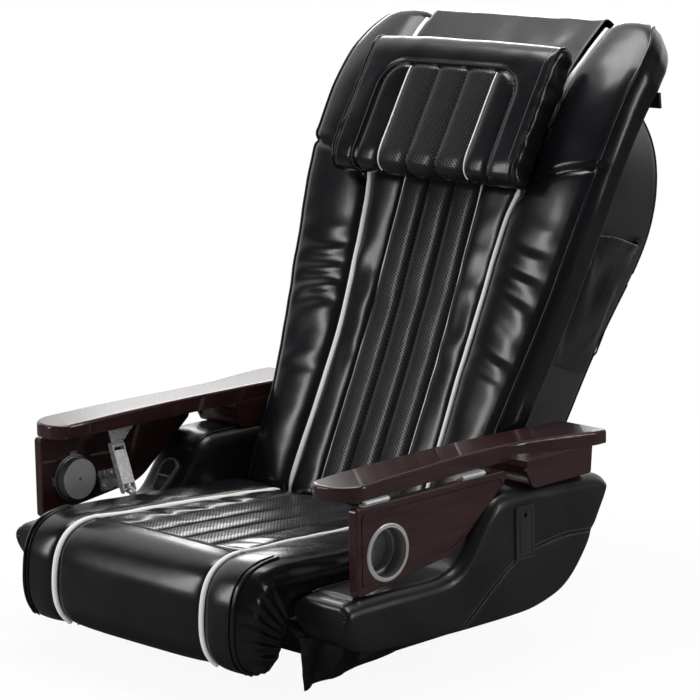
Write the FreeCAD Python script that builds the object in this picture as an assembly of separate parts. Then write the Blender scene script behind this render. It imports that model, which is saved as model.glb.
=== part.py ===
import FreeCAD, Part
import math
import os

# Pedicure spa chair top: it bolts to the pedestal of a foot bath.
# Millimetres. +Z is up, the sitter faces -Y, +X is the sitter's left.
# The origin is the centre of the base frame's underside.

V = FreeCAD.Vector
X_AXIS = V(1, 0, 0)
Y_AXIS = V(0, 1, 0)
Z_AXIS = V(0, 0, 1)

# The seat and all that it carries have a frame of their own: its heights are measured from the
# deck, the top of the slide, and it stands a little forward of the base's centre.

# Base
base_width = 420.0
base_length = 400.0
base_height = 40.0
base_wall = 40.0
base_bar_height = 12.0
bolt_spacing_x = 380.0
bolt_spacing_y = 360.0
bolt_radius = 5.5
gland_x = -120.0
bar_offset = 80.0
gland_radius = 8.0
gland_bore = 4.5
slide_height = 45.0
seat_forward = 55.0
track_offset = 160.0
track_width = 32.0
track_height = 20.0
slide_actuator_x = 90.0
slide_actuator_radius = 12.0
slide_rod_radius = 6.0
slide_axis_rise = 13.0
runner_front = -60.0
runner_rear = 140.0

# Seat
frame_height = 30.0
frame_tube = 30.0
frame_front = -285.0
frame_rear = 115.0
pan_thickness = 8.0
seat_half_width = 270.0
seat_thickness = 84.0
seat_front = -408.0
seat_rear = 68.0
seat_end_radius = 22.0
roll_drop = 156.0
roll_depth = 84.0
soft_gap = 0.4

# Recline
hinge_y = 88.0
hinge_z = 47.0
hinge_pin_radius = 8.0
lever_y = 105.0
lever_z = -8.0
lever_pin_radius = 6.0
actuator_y = -170.0
actuator_z = 15.0
eye_clearance = 1.9

# Side panels
panel_thickness = 109.0
panel_bottom = -15.0
panel_top = 182.0
panel_front = -316.0
panel_rear = 286.0
panel_edge = 13.0
skirt_thickness = 3.0
skirt_drop = 79.0
door_y = 77.0
door_z = 118.0
door_width = 42.0
door_height = 86.0
door_frame = 5.0
door_depth = 22.0
door_gap = 0.5
pod_length = 68.0
pod_width = 50.0
pod_wall = 4.0
pod_sink = 10.0
pod_rise = 3.5

# Arms
bracket_thickness = 5.0
board_width = 108.0
board_waist = 34.0
board_thickness = 25.0
board_crown = 4.0
board_length = 578.0
board_rear = 274.0
board_underside = 229.0
block_height = 45.0
block_length = 156.0
pivot_y = 228.0
pivot_z = 206.0
pivot_radius = 6.0
running_gap = 0.3
seat_fit = 0.3
bumper_height = 8.0

# Manicure trays
tray_thickness = 18.0
tray_inset = 18.0
tray_gap = 9.0
tray_height = 136.0
tray_front = -282.0
tray_rear = 49.0
groove_inset = 10.0
groove_width = 1.8
groove_depth = 1.5
cup_y = -217.0
cup_z = 143.0
cup_radius = 39.0
cup_depth = 38.0
cup_wall = 1.2
cup_flange = 5.5
leaf_length = 50.0
leaf_thickness = 1.8
barrel_radius = 3.4
leaf_places = (-236.0, -24.0)

# Folding stay: its three pivots are measured from the tray hinge, across and down
stay_y = -152.0
stay_top = (53.0, 32.5)
stay_knee = (80.0, 103.5)
stay_foot = (22.0, 86.5)
stay_slot = 11.5
stay_pin = 2.5
stay_width = 22.0

# Back
back_thickness = 60.0
back_shoulder = 336.0
shell_wall = 4.0
shell_seam = 62.0
back_tube = 22.0
back_tube_offset = 168.0
rail_low = 147.0
rail_high = 702.0
rail_depth = 137.0
rail_offset = 62.0
rail_radius = 7.0
screw_radius = 5.0
carriage_up = 250.0
carriage_height = 110.0
roller_radius = 22.0
roller_width = 24.0

# Pillow
pillow_half_width = 209.0
pillow_height = 250.0
pillow_thickness = 57.0
pillow_share = 0.755
flap_half_width = 192.0
flap_low = 0.60

# Pouch
pouch_depth = 17.0
pouch_wall = 2.5

# Levels and sides that follow from the sizes above
deck = base_height + slide_height
pan_top = frame_height + pan_thickness
seat_bottom = pan_top + soft_gap
seat_top = pan_top + seat_thickness
frame_half_width = seat_half_width - 49.0
bracket_inner = seat_half_width + 0.6
bracket_outer = bracket_inner + bracket_thickness
panel_inner = bracket_outer + 0.4
panel_outer = panel_inner + panel_thickness
block_inner = bracket_outer + 7.0
board_inner = bracket_outer + 8.4
board_outer = board_inner + board_width
board_top = board_underside + board_thickness
tray_outer = board_outer - tray_inset
tray_inner = tray_outer - tray_thickness
tray_top = board_underside - tray_gap
tray_bottom = tray_top - tray_height
tray_hinge_x = tray_outer - 3.0
tray_hinge_z = tray_top + tray_gap / 2
stay_top_x = tray_hinge_x - stay_top[0]
stay_top_z = tray_hinge_z - stay_top[1]
stay_knee_x = tray_hinge_x - stay_knee[0]
stay_knee_z = tray_hinge_z - stay_knee[1]
stay_tray_x = tray_hinge_x - stay_foot[0]
stay_tray_z = tray_hinge_z - stay_foot[1]
back_waist = seat_half_width - 1.0


def save(name, shape, move):
    if isinstance(shape, (list, tuple)):
        shape = Part.makeCompound(list(shape))
    shape = shape.copy()
    shape.translate(move)
    shape.exportStep("parts/" + name + ".step")


def box(low, high):
    size = [high[i] - low[i] for i in range(3)]
    return Part.makeBox(size[0], size[1], size[2], V(*low))


def rod(start, end, radius):
    line = V(*end).sub(V(*start))
    return Part.makeCylinder(radius, line.Length, V(*start), line)


def mirrored(shape):
    return shape.mirror(V(0, 0, 0), X_AXIS)


def flat_yz(x):
    return lambda u, v: V(x, u, v)


def flat_xz(y):
    return lambda u, v: V(u, y, v)


def flat_xy(z):
    return lambda u, v: V(u, v, z)


def rounded_wire(corners, place):
    """A closed outline through corners (u, v, radius), with an arc at each corner that has a radius."""
    edges = []
    spans = []
    count = len(corners)
    for i, (u, v, radius) in enumerate(corners):
        here = V(u, v, 0)
        before = V(corners[i - 1][0], corners[i - 1][1], 0).sub(here)
        after = V(corners[(i + 1) % count][0], corners[(i + 1) % count][1], 0).sub(here)
        if radius == 0:
            spans.append((here, None, here))
            continue
        angle = before.getAngle(after)
        reach = min(radius / math.tan(angle / 2), 0.49 * before.Length, 0.49 * after.Length)
        radius = reach * math.tan(angle / 2)
        before.normalize()
        after.normalize()
        middle = before.add(after)
        middle.normalize()
        nearest = radius / math.sin(angle / 2) - radius
        spans.append((here + before * reach, here + middle * nearest, here + after * reach))
    placed = [[place(p.x, p.y) if p is not None else None for p in span] for span in spans]
    for i, (start, middle, end) in enumerate(placed):
        previous = placed[i - 1][2]
        if previous.distanceToPoint(start) > 1e-6:
            edges.append(Part.LineSegment(previous, start).toShape())
        if middle is not None:
            edges.append(Part.Arc(start, middle, end).toShape())
    return Part.Wire(Part.__sortEdges__(edges))


def plate_x(corners, x_low, x_high):
    """A flat piece with its outline in the side view."""
    return Part.Face(rounded_wire(corners, flat_yz(x_low))).extrude(V(x_high - x_low, 0, 0))


def plate_y(corners, y_low, y_high):
    """A flat piece with its outline in the front view."""
    return Part.Face(rounded_wire(corners, flat_xz(y_low))).extrude(V(0, y_high - y_low, 0))


def plate_z(corners, z_low, z_high):
    """A flat piece with its outline in the plan view."""
    return Part.Face(rounded_wire(corners, flat_xy(z_low))).extrude(V(0, 0, z_high - z_low))


def softened(solid, radius, chosen):
    """The solid with the edges that the test picks rounded."""
    edges = [edge for edge in solid.Edges if chosen(edge)]
    return solid.makeFillet(radius, edges)


def edges_at_x(*values):
    """A test for the edges that lie in planes at the given x."""
    def test(edge):
        bounds = edge.BoundBox
        return any(abs(bounds.XMin - x) < 0.01 and abs(bounds.XMax - x) < 0.01 for x in values)
    return test


# Base frame, slide and electrics

def base_frame():
    half_x = base_width / 2
    half_y = base_length / 2
    ring = plate_z([(-half_x, -half_y, 18), (half_x, -half_y, 18), (half_x, half_y, 18), (-half_x, half_y, 18)],
                   0, base_height)
    inner_x = half_x - base_wall
    inner_y = half_y - base_wall
    opening = plate_z([(-inner_x, -inner_y, 6), (inner_x, -inner_y, 6), (inner_x, inner_y, 6),
                       (-inner_x, inner_y, 6)], 0, base_height)
    frame = ring.cut(opening)
    for y in (-bar_offset, bar_offset):
        frame = frame.fuse(box((-inner_x, y - 15, 0), (inner_x, y + 15, base_bar_height)))
    for x in (-bolt_spacing_x / 2, bolt_spacing_x / 2):
        for y in (-bolt_spacing_y / 2, bolt_spacing_y / 2):
            frame = frame.cut(Part.makeCylinder(bolt_radius, base_height, V(x, y, 0)))
    gland_hole = Part.makeCylinder(gland_radius, base_wall, V(gland_x, inner_y, base_height / 2), Y_AXIS)
    return frame.cut(gland_hole).removeSplitter()


def cable_gland():
    """Gland in the rear member, where the supply cord goes in."""
    half_y = base_length / 2
    middle = base_height / 2
    start = V(gland_x, half_y - base_wall, middle)
    body = Part.makeCylinder(gland_radius, base_wall, start, Y_AXIS)
    collar = Part.makeCylinder(gland_radius + 5, 6, V(gland_x, half_y, middle), Y_AXIS)
    nose = Part.makeCone(gland_radius + 3, gland_radius, 12, V(gland_x, half_y + 6, middle), Y_AXIS)
    bore = Part.makeCylinder(gland_bore, base_wall + 18, start, Y_AXIS)
    return body.fuse([collar, nose]).cut(bore)


def control_box():
    """Power supply and relay box with cooling slots, on the base's rear cross bar."""
    low_x = -138.0
    high_x = -30.0
    low_y = bar_offset - 30
    high_y = base_length / 2 - base_wall - 4
    low_z = base_bar_height
    high_z = base_height + 14.0
    outline = [(low_x, low_y, 6), (high_x, low_y, 6), (high_x, high_y, 6), (low_x, high_y, 6)]
    case = plate_z(outline, low_z, high_z)
    for i in range(5):
        x = low_x + 16 + i * 16.0
        case = case.cut(box((x, low_y + 20, high_z - 3), (x + 5, high_y - 20, high_z)))
    return case


def slide_tracks():
    """Two C-shaped tracks, open at the top, screwed to the base frame."""
    tracks = []
    half = track_width / 2
    low_y = -base_length / 2 + 5
    high_y = base_length / 2 - 5
    roof = base_height + track_height
    for side in (-1, 1):
        x = side * track_offset
        outer = box((x - half, low_y, base_height), (x + half, high_y, roof))
        channel = box((x - half + 3, low_y, base_height + 3), (x + half - 3, high_y, roof - 3))
        slot = box((x - 7, low_y, base_height + 10), (x + 7, high_y, roof))
        tracks.append(outer.cut(channel).cut(slot))
    return tracks


def slide_runners():
    """Two T-shaped runners that hang from the seat frame into the tracks."""
    runners = []
    half = track_width / 2 - 3 - running_gap
    for side in (-1, 1):
        x = side * track_offset
        foot = box((x - half, runner_front, 3 + running_gap - slide_height),
                   (x + half, runner_rear, track_height - 3 - running_gap - slide_height))
        neck = box((x - 7 + running_gap, runner_front, 10 - slide_height), (x + 7 - running_gap, runner_rear, 0))
        runners.append(foot.fuse(neck).removeSplitter())
    return runners


def slide_actuator():
    """Gear motor and tube, on a bracket on the base's front cross bar."""
    x = slide_actuator_x
    z = base_height + slide_axis_rise
    tube = rod((x, -140, z), (x, bar_offset - 20, z), slide_actuator_radius)
    bore = rod((x, -140, z), (x, bar_offset - 40, z), slide_rod_radius + running_gap)
    gearbox = plate_z([(x - 30, bar_offset - 30, 8), (x + 35, bar_offset - 30, 8), (x + 35, bar_offset + 20, 8),
                       (x - 30, bar_offset + 20, 8)], base_bar_height, z + slide_actuator_radius)
    bracket = box((x - 20, -bar_offset - 15, base_bar_height), (x + 20, 15 - bar_offset, z - 4))
    return tube.fuse([gearbox, bracket]).cut(bore)


def slide_rod():
    """Rod and the lug that joins it to the seat frame's front member."""
    x = slide_actuator_x
    z = slide_axis_rise - slide_height
    front = frame_front + 4
    bar = rod((x, front + 4, z), (x, 0, z), slide_rod_radius)
    lug = plate_y([(x - 14, 0, 0), (x - 14, z - 10, 8), (x + 14, z - 10, 8), (x + 14, 0, 0)], front, front + 14)
    return bar.fuse(lug).removeSplitter()


# Seat

def seat_frame():
    """Welded tubes with outriggers for the side panels, ears for the back's hinge and a clevis."""
    top = frame_height
    bars = []
    for side in (-1, 1):
        inner = side * (frame_half_width - frame_tube)
        outer = side * frame_half_width
        bars.append(box((min(inner, outer), frame_front, 0), (max(inner, outer), frame_rear, top)))
        for y, reach in ((-160, panel_inner), (-18, bracket_inner), (66, bracket_inner)):
            low_x, high_x = sorted((outer, side * reach))
            bars.append(box((low_x, y, 2), (high_x, y + 26, top)))
        low_x, high_x = sorted((outer, outer - side * 6))
        ear = plate_x([(hinge_y - 24, top - 4, 0), (hinge_y + 24, top - 4, 0), (hinge_y + 16, hinge_z + 16, 15.9),
                       (hinge_y - 16, hinge_z + 16, 15.9)], low_x, high_x)
        bars.append(ear)
        low_x, high_x = sorted((side * (track_offset - 14), inner))
        for y in (runner_front + 6, frame_rear - 40):
            bars.append(box((low_x, y, 0), (high_x, y + 40, 6)))
    span = frame_half_width - frame_tube
    bars.append(box((-span, frame_front, 0), (span, frame_front + frame_tube, top)))
    bars.append(box((-span, actuator_y - 45, 0), (span, actuator_y - 20, top)))
    bars.append(box((-span, 20, top - 6), (span, 46, top)))
    for x in (-13.0, 7.0):
        bars.append(plate_x([(actuator_y - 20, 0, 0), (actuator_y - 20, top, 0), (actuator_y + 9, actuator_z + 9, 8.9),
                             (actuator_y + 9, actuator_z - 9, 8.9)], x, x + 6))
    frame = bars[0].fuse(bars[1:])
    frame = frame.cut(rod((-frame_half_width - 1, hinge_y, hinge_z), (frame_half_width + 1, hinge_y, hinge_z),
                          hinge_pin_radius))
    frame = frame.cut(rod((-20, actuator_y, actuator_z), (20, actuator_y, actuator_z), 5.0))
    return frame.removeSplitter()


def seat_pan():
    """Plywood board with rounded corners and air holes, under the cushion."""
    half = seat_half_width - 6
    pan = plate_z([(-half, frame_front - 12, 40), (half, frame_front - 12, 40), (half, seat_rear - 6, 20),
                   (-half, seat_rear - 6, 20)], frame_height, pan_top)
    for x in (-70.0, 70.0):
        for y in (-200.0, -110.0, -20.0):
            pan = pan.cut(Part.makeCylinder(12, pan_thickness, V(x, y, frame_height)))
    return pan


def seat_cushion():
    """Side profile with a waterfall roll that hangs in front of the frame, and soft ends."""
    roll_back = seat_front + roll_depth
    roll_bottom = seat_top - roll_drop
    profile = [(seat_rear, seat_bottom, 8), (seat_rear, seat_top - 22, 12), (-150, seat_top - 3, 300),
               (-332, seat_top + 5, 50), (-394, seat_top - 12, 50), (seat_front - 4, seat_top - 92, 60),
               (seat_front + 12, roll_bottom + 2, 24), (roll_back - 26, roll_bottom, 24),
               (roll_back, roll_bottom + 50, 30), (roll_back, seat_bottom, 10)]
    body = plate_x(profile, -seat_half_width, seat_half_width)
    return softened(body, seat_end_radius, edges_at_x(-seat_half_width, seat_half_width))


def hinge_pins():
    """Two headed pins on the recline axis, one at each ear."""
    pins = []
    for side in (-1, 1):
        outer = side * (frame_half_width + 0.5)
        inner = side * (frame_half_width - 16.0)
        shank = rod((outer, hinge_y, hinge_z), (inner, hinge_y, hinge_z), hinge_pin_radius)
        head = rod((outer, hinge_y, hinge_z), (outer + side * 4, hinge_y, hinge_z), hinge_pin_radius + 4)
        pins.append(shank.fuse(head).removeSplitter())
    return pins


# Side panels, skirts and what is set in them

slope_low = (-68.0, panel_bottom + 93)
slope_high = (20.0, panel_top)


def side_panel():
    """Upholstered panel: low in front, an S-curve up to the arm block and a big rear corner."""
    outline = [(panel_front, panel_bottom + 96, 20), (panel_front + 22, panel_bottom + 18, 34),
               (panel_front + 150, panel_bottom + 5, 90), (60, panel_bottom, 90), (192, panel_bottom, 130),
               (panel_rear - 5, panel_top - 14, 18), (panel_rear - 24, panel_top - 5, 18), (110, panel_top + 2, 60),
               (slope_high[0], slope_high[1], 46), (slope_low[0], slope_low[1], 60)]
    solid = plate_x(outline, panel_inner, panel_outer)
    return softened(solid, panel_edge, edges_at_x(panel_outer))


def door_corners(inset, radius):
    half_y = door_width / 2 - inset
    half_z = door_height / 2 - inset
    return [(door_y - half_y, door_z - half_z, radius), (door_y + half_y, door_z - half_z, radius),
            (door_y + half_y, door_z + half_z, radius), (door_y - half_y, door_z + half_z, radius)]


def door_liner():
    """Moulded pocket with a raised bezel, set in the left panel."""
    bezel = plate_x(door_corners(0, 3), panel_outer, panel_outer + 3)
    pocket = plate_x(door_corners(door_frame - 2, 2), panel_outer - door_depth, panel_outer)
    hollow = plate_x(door_corners(door_frame, 1.5), panel_outer - door_depth + 2, panel_outer + 3)
    return bezel.fuse(pocket).cut(hollow).removeSplitter()


def access_door():
    """Flat door hinged on its lower edge, with a notch for a fingertip at the top."""
    door = plate_x(door_corners(door_frame + door_gap, 1), panel_outer, panel_outer + 2.5)
    field = plate_x(door_corners(door_frame + 4, 1), panel_outer + 2.5, panel_outer + 3.2)
    notch_z = door_z + door_height / 2 - door_frame - 10
    notch = rod((panel_outer - 1, door_y, notch_z), (panel_outer + 4, door_y, notch_z), 4.0)
    axis_x = panel_outer + 1.25
    axis_z = door_z - door_height / 2 + door_frame + door_gap + 1.6
    half = door_width / 2 - door_frame - door_gap - 2
    bead = rod((axis_x, door_y - half, axis_z), (axis_x, door_y + half, axis_z), 1.6)
    return door.fuse([field, bead]).cut(notch).removeSplitter()


def on_slope(u, v, out):
    """A point on the panel's S-slope: u up the slope, v across it, out from its surface."""
    low = V(0, slope_low[0], slope_low[1])
    along = V(0, slope_high[0], slope_high[1]).sub(low)
    length = along.Length
    along.normalize()
    normal = V(0, -along.z, along.y)
    return V(-(panel_inner + panel_outer) / 2 + v, 0, 0) + low + along * (length * 0.37 + u) + normal * out


def teardrop(inset, low, high):
    """A teardrop plate on the slope: wide at the top, narrow at the bottom."""
    half = pod_length / 2 - inset
    wide = pod_width / 2 - inset
    narrow = pod_width / 4 - inset
    corners = [(half, -wide, wide * 0.95), (half, wide, wide * 0.95), (-half, narrow, narrow * 0.9),
               (-half, -narrow, narrow * 0.9)]
    face = Part.Face(rounded_wire(corners, lambda u, v: on_slope(u, v, low)))
    return face.extrude(on_slope(0, 0, high).sub(on_slope(0, 0, low)))


def control_pod():
    """Chromed bezel and tray for the paddle, set in the slope of the right panel."""
    pod = teardrop(0, -pod_sink, pod_rise).cut(teardrop(pod_wall, -pod_sink + 3, pod_rise))
    axle = rod(on_slope(0, -pod_width / 2 + 2, 0.5), on_slope(0, pod_width / 2 - 2, 0.5), 1.5)
    return pod.fuse(axle.common(teardrop(1.0, -pod_sink, pod_rise))).removeSplitter()


def control_paddle():
    """Rocker paddle on the pod's axle, which tips to raise or recline the back."""
    paddle = teardrop(pod_wall + 1.5, -4.0, pod_rise - 1.0)
    dish = Part.makeCylinder(60, pod_width, on_slope(0, -pod_width / 2, pod_rise + 56.5), X_AXIS)
    hole = rod(on_slope(0, -pod_width, 0.5), on_slope(0, pod_width, 0.5), 1.55)
    return paddle.cut(dish).cut(hole)


def side_skirt():
    """Leather apron that hides the slide: a cut-out front corner, a deep front part and a low rear part."""
    x = seat_half_width - 3.0
    low = -skirt_drop
    outline = [(-319, frame_height - 1, 0), (-297, 2, 24), (-292, low, 5), (-190, low + 8, 60), (60, low + 34, 60),
               (102, low + 36, 10), (102, 1.6, 0), (-168, 1.6, 0), (-168, frame_height - 1, 0)]
    return plate_x(outline, x - skirt_thickness, x)


# Arms

def arm_board():
    """Crowned board: wide at the front, waisted in the middle, flared at the rear, with rounded top edges."""
    front = board_rear - board_length
    waist = board_outer - board_waist
    plan = plate_z([(board_inner + 4, front, 28), (board_outer - 20, front + 8, 46), (waist, -20, 400),
                    (waist, 90, 240),
                    (board_outer, board_rear - 30, 60), (board_outer, board_rear, 10), (board_inner + 8, board_rear, 14),
                    (board_inner, 60, 500), (board_inner, -240, 300)], board_underside - 1, board_top + 20)
    rim = [(front - 5, board_underside), (board_rear + 5, board_underside), (board_rear + 5, board_top - board_crown)]
    points = [V(0, y, z) for y, z in rim]
    crown = Part.Arc(points[2], V(0, 0, board_top + 2), V(0, front - 5, board_top - board_crown + 1))
    edges = [Part.LineSegment(points[0], points[1]).toShape(), Part.LineSegment(points[1], points[2]).toShape(),
             crown.toShape(), Part.LineSegment(V(0, front - 5, board_top - board_crown + 1), points[0]).toShape()]
    side = Part.Face(Part.Wire(edges))
    side.translate(V(board_inner - 20, 0, 0))
    board = plan.common(side.extrude(V(board_width + 40, 0, 0)))

    def upper(edge):
        return edge.BoundBox.ZMin > board_underside + 5 and edge.BoundBox.ZLength < 8
    return softened(board, 5.0, upper)


def arm_block():
    """Rear block under the board, hollowed in front, bored for the pivot."""
    rear = pivot_y + 14
    front = rear - block_length
    bottom = board_underside - block_height
    outline = [(front, board_underside, 0), (front - 2, board_underside - 16, 14), (front + 14, bottom, 10),
               (rear - 4, bottom, 5), (rear, board_underside, 0)]
    outer = panel_outer
    block = plate_x(outline, block_inner, outer)
    cove = rod((block_inner, front - 17, bottom + 14), (outer - 5, front - 17, bottom + 14), 27.0)
    bore = rod((block_inner, pivot_y, pivot_z), (outer - 14, pivot_y, pivot_z), pivot_radius + running_gap / 3)
    return block.cut(cove).cut(bore)


def arm_bracket():
    """Steel plate from the seat frame's outriggers up to the arm's pivot, with a slot and a boss."""
    x = bracket_inner
    outline = [(-20, 2, 4), (98, 2, 8), (pivot_y + 16, pivot_z - 16, 16), (pivot_y + 16, pivot_z + 16, 15),
               (pivot_y - 16, pivot_z + 16, 15), (pivot_y - 30, pivot_z - 12, 10), (74, frame_height + 5, 20),
               (-20, frame_height + 5, 4)]
    plate = plate_x(outline, x, x + bracket_thickness)
    slot = plate_x([(98, 44, 5), (108, 38, 5), (188, 158, 7), (178, 164, 7)], x, x + bracket_thickness)
    boss = rod((x + bracket_thickness, pivot_y, pivot_z), (block_inner - running_gap, pivot_y, pivot_z),
               pivot_radius + 6)
    hole = rod((x, pivot_y, pivot_z), (block_inner, pivot_y, pivot_z), pivot_radius)
    return plate.cut(slot).fuse(boss).cut(hole).removeSplitter()


def arm_pivot_pins():
    pins = []
    for side in (-1, 1):
        start = side * bracket_inner
        end = side * (panel_outer - 16)
        pins.append(rod((start, pivot_y, pivot_z), (end, pivot_y, pivot_z), pivot_radius))
    return pins


def arm_bumpers(grow=0.0):
    """Rubber buffers sunk in the panels, on which the arm blocks rest."""
    bumpers = []
    x = (panel_inner + panel_outer) / 2
    top = board_underside - block_height - running_gap
    for side in (-1, 1):
        foot = V(side * x, 118, top - bumper_height)
        bumpers.append(Part.makeCylinder(9 + grow, bumper_height + 5 * grow, foot))
    return bumpers


# Manicure trays

def tray_outline(inset):
    low = tray_bottom + inset
    high = tray_top - inset
    front = tray_front + inset
    rear = tray_rear - inset
    slant = inset * 0.35
    return [(front, low, 7), (-70 - slant, low + 27, 80), (rear, high - 16 - slant, 14), (rear - 2, high, 6),
            (front, high, 7)]


def manicure_tray():
    """Panel with rounded edges, a routed groove that follows its outline and a hole for the cup."""
    panel = plate_x(tray_outline(0), tray_inner, tray_outer)
    panel = softened(panel, 3.0, edges_at_x(tray_inner, tray_outer))
    outer = plate_x(tray_outline(groove_inset), tray_outer - groove_depth, tray_outer)
    inner = plate_x(tray_outline(groove_inset + groove_width), tray_outer - groove_depth, tray_outer)
    hole = rod((tray_inner - 1, cup_y, cup_z), (tray_outer + 1, cup_y, cup_z), cup_radius + 0.3)
    return panel.cut(outer.cut(inner)).cut(hole)


def cup_holder():
    """Stepped, spun cup with a flange on the tray's face and two spring clips behind the tray."""
    narrow = cup_radius - 5.0
    step = cup_depth * 0.4
    lip = cup_depth + 0.1
    profile = [(0, 0), (narrow, 0), (narrow, step), (cup_radius, step + 2), (cup_radius, lip),
               (cup_radius + cup_flange, lip), (cup_radius + cup_flange, lip + 1.2),
               (cup_radius + cup_flange - 2, lip + 2.2), (cup_radius - cup_wall, lip + 2.2),
               (cup_radius - cup_wall, step + 2 + cup_wall), (narrow - cup_wall, step + cup_wall),
               (narrow - cup_wall, cup_wall), (0, cup_wall)]
    points = [V(tray_outer - cup_depth + along, cup_y, cup_z + radius) for radius, along in profile]
    cup = Part.Face(Part.makePolygon(points + [points[0]])).revolve(V(tray_outer, cup_y, cup_z), X_AXIS, 360)
    clips = []
    rim = cup_z + cup_radius
    for turn in (0, 90):
        arm = box((tray_inner - 4, cup_y - 7, rim - 0.2), (tray_inner - 2.8, cup_y + 7, rim + 5))
        toe = box((tray_inner - 4, cup_y - 7, rim + 3.8), (tray_inner - 0.1, cup_y + 7, rim + 5))
        clip = arm.fuse(toe)
        clip.rotate(V(0, cup_y, cup_z), X_AXIS, turn)
        clips.append(clip)
    return cup.fuse(clips).removeSplitter()


def tray_hinge_leaves(moving):
    """Butt hinge leaves: fixed ones under the board, moving ones on the tray's top edge."""
    pieces = []
    third = leaf_length / 3
    for y in leaf_places:
        start = y - leaf_length / 2
        end = start + leaf_length
        if moving:
            leaf = box((tray_inner + 3, start, tray_top), (tray_hinge_x, end, tray_top + leaf_thickness))
            spans = [(start + third + 0.2, start + 2 * third - 0.2)]
            low, high = tray_top, tray_hinge_z
        else:
            leaf = box((board_inner + 42, start, board_underside - leaf_thickness),
                       (tray_hinge_x, end, board_underside))
            spans = [(start, start + third), (start + 2 * third, end)]
            low, high = tray_hinge_z, board_underside
            pieces.append(rod((tray_hinge_x, start, tray_hinge_z), (tray_hinge_x, end, tray_hinge_z), 1.5))
        clear = rod((tray_hinge_x, start, tray_hinge_z), (tray_hinge_x, end, tray_hinge_z),
                    barrel_radius + running_gap)
        solid = leaf.cut(clear)
        for near, far in spans:
            knuckle = rod((tray_hinge_x, near, tray_hinge_z), (tray_hinge_x, far, tray_hinge_z), barrel_radius)
            web = box((tray_hinge_x - barrel_radius - 1.2, near, low), (tray_hinge_x - 0.8, far, high))
            solid = solid.fuse([knuckle, web])
        hole = rod((tray_hinge_x, start, tray_hinge_z), (tray_hinge_x, end, tray_hinge_z), 1.55)
        pieces.append(solid.cut(hole).removeSplitter())
    return pieces


# Folding stay of a tray

def stay_bracket():
    """Gusset under the board: a tapering plate with a bent top flange, a stiffened rear edge and a barrel."""
    low = stay_y - stay_width / 2
    high = stay_y + stay_width / 2
    top = board_underside
    x = stay_top_x
    neck = stay_top_z + 9
    plate = plate_x([(low, stay_top_z, 0), (high, stay_top_z, 0), (high, neck, 0), (high + 30, top - 2, 3),
                     (low - 8, top - 2, 3), (low, neck, 0)], x - 1.2, x + 1.2)
    flange = box((x - 1.2, low - 8, top - 2.4), (x + 22, high + 30, top))
    knuckle = rod((x, low, stay_top_z), (x, high, stay_top_z), 4.2)
    lip = [V(x - 6, high - 0.5, neck), V(x + 1.2, high - 0.5, neck), V(x + 1.2, high + 1.7, neck),
           V(x - 6, high + 1.7, neck)]
    rib = Part.Face(Part.makePolygon(lip + [lip[0]])).extrude(V(0, 26, top - 2 - neck))
    bore = rod((x, low - 1, stay_top_z), (x, high + 1, stay_top_z), stay_pin + 0.1)
    return plate.fuse([flange, knuckle, rib]).cut(bore).removeSplitter()


def swung(shape, x, z, target_x, target_z):
    """A link drawn along +X from the origin, swung so that it points from (x, z) to the target."""
    shape.rotate(V(0, 0, 0), Y_AXIS, -math.degrees(math.atan2(target_z - z, target_x - x)))
    shape.translate(V(x, stay_y, z))
    return shape


def stay_upper_link():
    """Pressed channel from the gusset's barrel down to the knee, with a pin through each end."""
    length = math.hypot(stay_knee_x - stay_top_x, stay_knee_z - stay_top_z)
    wall = 1.8
    half = stay_width / 2 + running_gap
    flange = [(-6, -5.5, 5.4), (length + 6, -5.5, 5.4), (length + 6, 5.5, 5.4), (-6, 5.5, 5.4)]
    link = box((9, -half, -5.5), (length - 9, half, -5.5 + wall))
    for y in (-half - wall, half):
        side = Part.Face(rounded_wire(flange, flat_xz(y))).extrude(V(0, wall, 0))
        link = link.fuse(side)
    reach = half + wall + 1.5
    for x in (0.0, length):
        link = link.fuse(rod((x, -reach, 0), (x, reach, 0), stay_pin))
    return swung(link.removeSplitter(), stay_top_x, stay_top_z, stay_knee_x, stay_knee_z)


def stay_lower_link():
    """Flat curved arm from the tray plate to the knee: an eye at one end and a slot at the other."""
    length = math.hypot(stay_knee_x - stay_tray_x, stay_knee_z - stay_tray_z)
    half = 3.0
    width = stay_pin + 3.2
    end = length + stay_slot + width
    outline = [(-4.2, -4.2, 4.1), (14, -4.6, 12), (length - 10, -width - 1, 20), (end, -width, 5.5), (end, width, 5.5),
               (length - 8, width, 14), (18, 9, 16), (-4.2, 4.2, 4.1)]
    arm = plate_y(outline, -half, half)
    gap = stay_pin + 0.45
    near = length - gap - 0.4
    far = length + stay_slot + gap
    slot = plate_y([(near, -gap, gap * 0.98), (far, -gap, gap * 0.98), (far, gap, gap * 0.98),
                    (near, gap, gap * 0.98)], -half, half)
    arm = arm.cut([rod((0, -half, 0), (0, half, 0), stay_pin + 0.1), slot])
    return swung(arm, stay_tray_x, stay_tray_z, stay_knee_x, stay_knee_z)


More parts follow.
